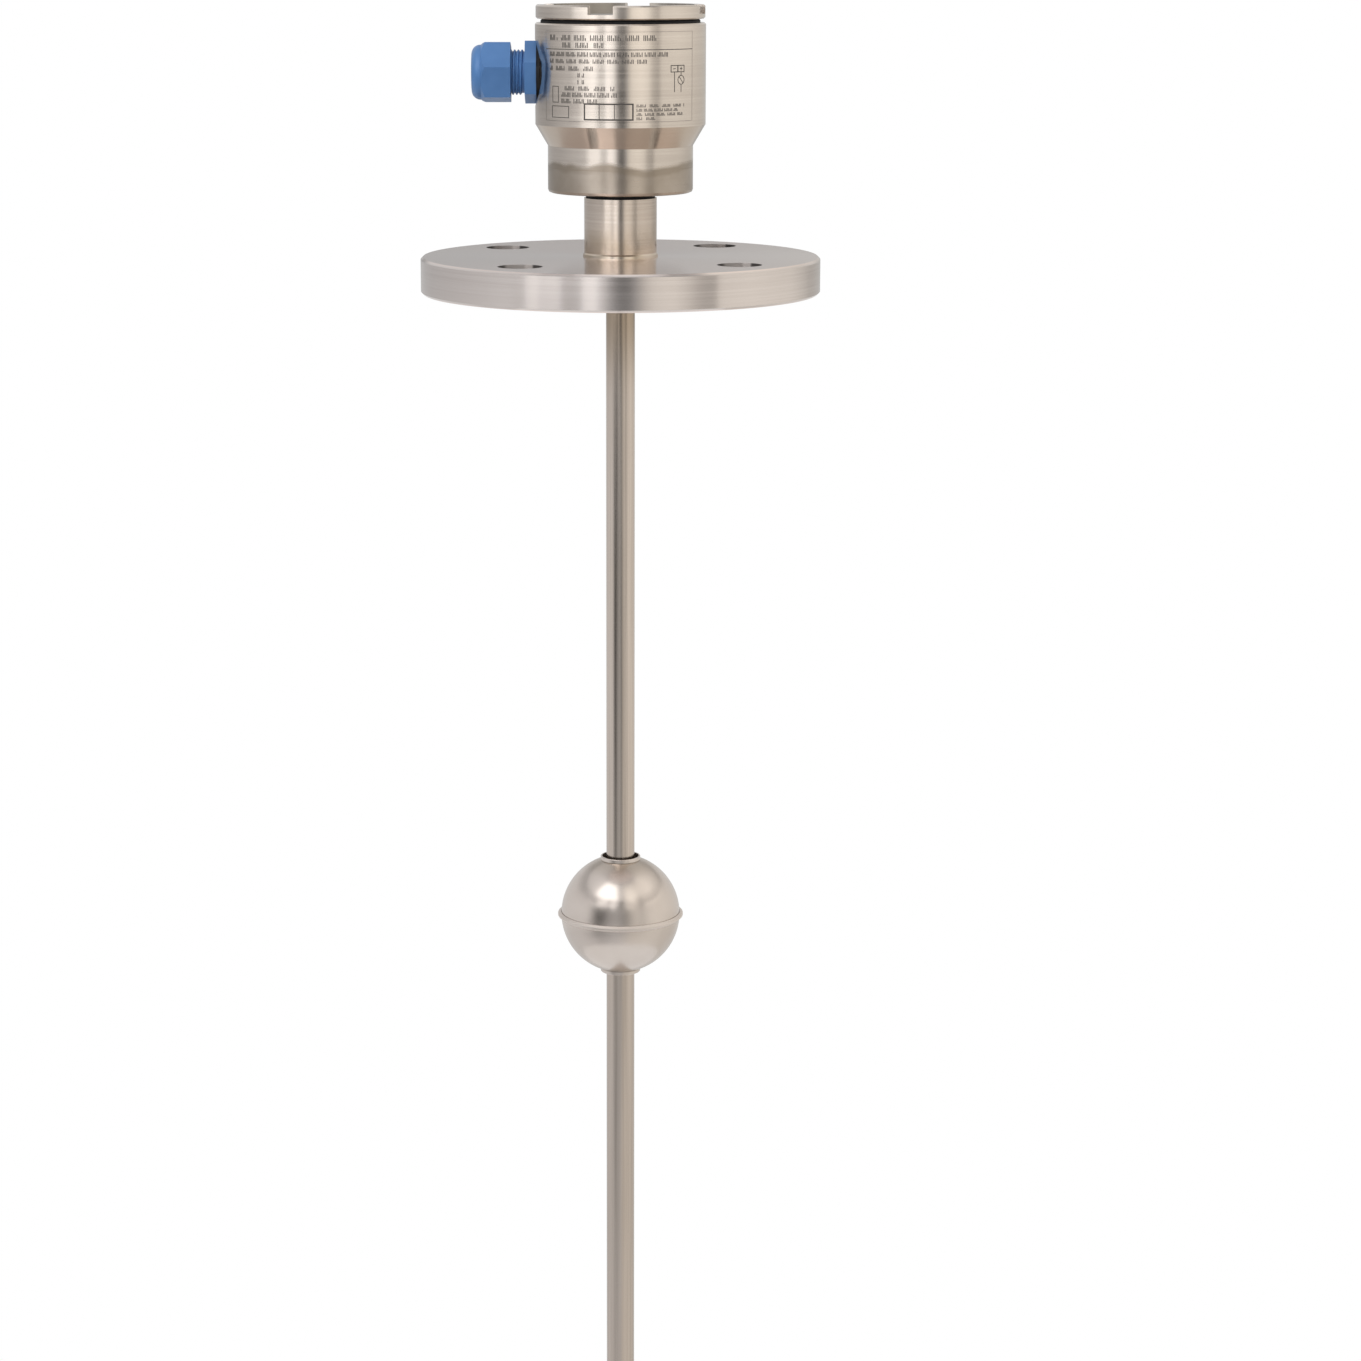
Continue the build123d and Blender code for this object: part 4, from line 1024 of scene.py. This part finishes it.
def tent_finish():
    material = bpy.data.materials.new("tent_light")
    material.use_nodes = True
    tree = material.node_tree
    tree.nodes.clear()
    x, y, z = split_place(tree)
    azimuth = fade(tree, sums(tree, "ARCTAN2", x, times(tree, y, -1.0)), -math.pi, math.pi, curve="LINEAR")
    light = azimuth_ramp(tree, azimuth, *TENT_LEVELS[0][1:])
    for (below, *_), (above, *level) in zip(TENT_LEVELS, TENT_LEVELS[1:]):
        light = blend_colours(tree, fade(tree, z, below, above), light, azimuth_ramp(tree, azimuth, *level))
    glow = add(tree, "ShaderNodeEmission", {"Strength": TENT_STRENGTH})
    feed(tree, light, glow.inputs["Color"])
    feed(tree, glow.outputs[0], add(tree, "ShaderNodeOutputMaterial").inputs["Surface"])
    return material


tent = start(bpy.ops.mesh.primitive_cylinder_add, "light_tent", vertices=96, radius=TENT_RADIUS,
             depth=TENT_TOP - TENT_BOTTOM, end_fill_type="NOTHING",
             location=(0, 0, (TENT_TOP + TENT_BOTTOM) / 2))
settle(tent)
tent.data.materials.append(tent_finish())
for ray in ("camera", "diffuse", "transmission", "volume_scatter", "shadow"):
    setattr(tent, "visible_" + ray, False)
print("light tent:", TENT_RADIUS, "m radius")

# %% [markdown]
# ## Floor
# The object stands over a plain pale floor, just under the tip of the tube. More light on it would
# also bleach the object, so the floor's own colour looks white to the camera, to reflections and
# through glass, and less so near the object, where it keeps a little of the object's shadow.

# %% Floor
FLOOR_GAP, FLOOR_SIZE = 0.003, 14
SHADE_START, SHADE_END, LEAST_WHITE = 0.10, 0.75, 0.60


def seen_directly(tree):
    """1 for what the camera sees, also in a reflection or through glass, and 0 for light on the object."""
    path = add(tree, "ShaderNodeLightPath").outputs
    return sums(tree, "MAXIMUM", sums(tree, "MAXIMUM", path["Is Camera Ray"], path["Is Glossy Ray"]),
                path["Is Transmission Ray"])


def floor_finish():
    material, tree, shader = new_finish("pale_floor", Base_Color=(0.86, 0.86, 0.85, 1), Roughness=0.9,
                                        Specular_IOR_Level=0.1)
    white = add(tree, "ShaderNodeEmission", {"Color": (1, 1, 1, 1), "Strength": 1.0})
    whiteness = fade(tree, distance_from_axis(tree), SHADE_START, SHADE_END, LEAST_WHITE, 1.0)
    mix = add(tree, "ShaderNodeMixShader")
    feed(tree, times(tree, seen_directly(tree), whiteness), mix.inputs[0])
    feed(tree, shader.outputs[0], mix.inputs[1])
    feed(tree, white.outputs[0], mix.inputs[2])
    feed(tree, mix.outputs[0], tree.nodes["Material Output"].inputs["Surface"])
    return material


floor = start(bpy.ops.mesh.primitive_plane_add, "floor", size=FLOOR_SIZE,
              location=(0, 0, TUBE_TIP - FLOOR_GAP))
settle(floor)
floor.data.materials.append(floor_finish())
print("floor at", round(floor.data.vertices[0].co.z, 4), "m")

# %% [markdown]
# ## Lamps
# Plastic and rubber need light of their own, because the tent only shines in reflections. One lamp
# would leave a hard side, so a key at the front left has a weaker fill at the right. Both are large
# and soft, and hidden from reflections, where they would add a second set of highlights.

# %% Lamps
LAMPS = (
    # name, place, size, watts
    ("key", (-1.3, -1.5, 1.4), 1.3, 26),
    ("fill", (1.6, -1.2, 0.9), 1.5, 14),
)
AIM = Vector((0, 0, -0.1))
for name, place, size, watts in LAMPS:
    lamp_data = bpy.data.lights.new(name, "AREA")
    lamp_data.shape = "SQUARE"
    lamp_data.size = size
    lamp_data.energy = watts
    lamp = bpy.data.objects.new(name, lamp_data)
    lamp.location = place
    lamp.rotation_euler = (AIM - Vector(place)).to_track_quat("-Z", "Y").to_euler()
    lamp.visible_glossy = False
    bpy.context.scene.collection.objects.link(lamp)
print("lamps:", len(LAMPS))

# %% [markdown]
# ## Sky
# A bright even sky fills the shadows, at a level where a colour looks as it was written. At full
# strength it would wash the object out, so it is white only where it is seen directly.

# %% Sky
SKY_STRENGTH = 0.72
sky = bpy.data.worlds.new("studio_sky")
bpy.context.scene.world = sky
sky.use_nodes = True
air = sky.node_tree
background = air.nodes["Background"]
background.inputs["Color"].default_value = (1, 1, 1, 1)
feed(air, fade(air, seen_directly(air), 0.0, 1.0, SKY_STRENGTH, 1.0), background.inputs["Strength"])
print("sky strength:", SKY_STRENGTH)
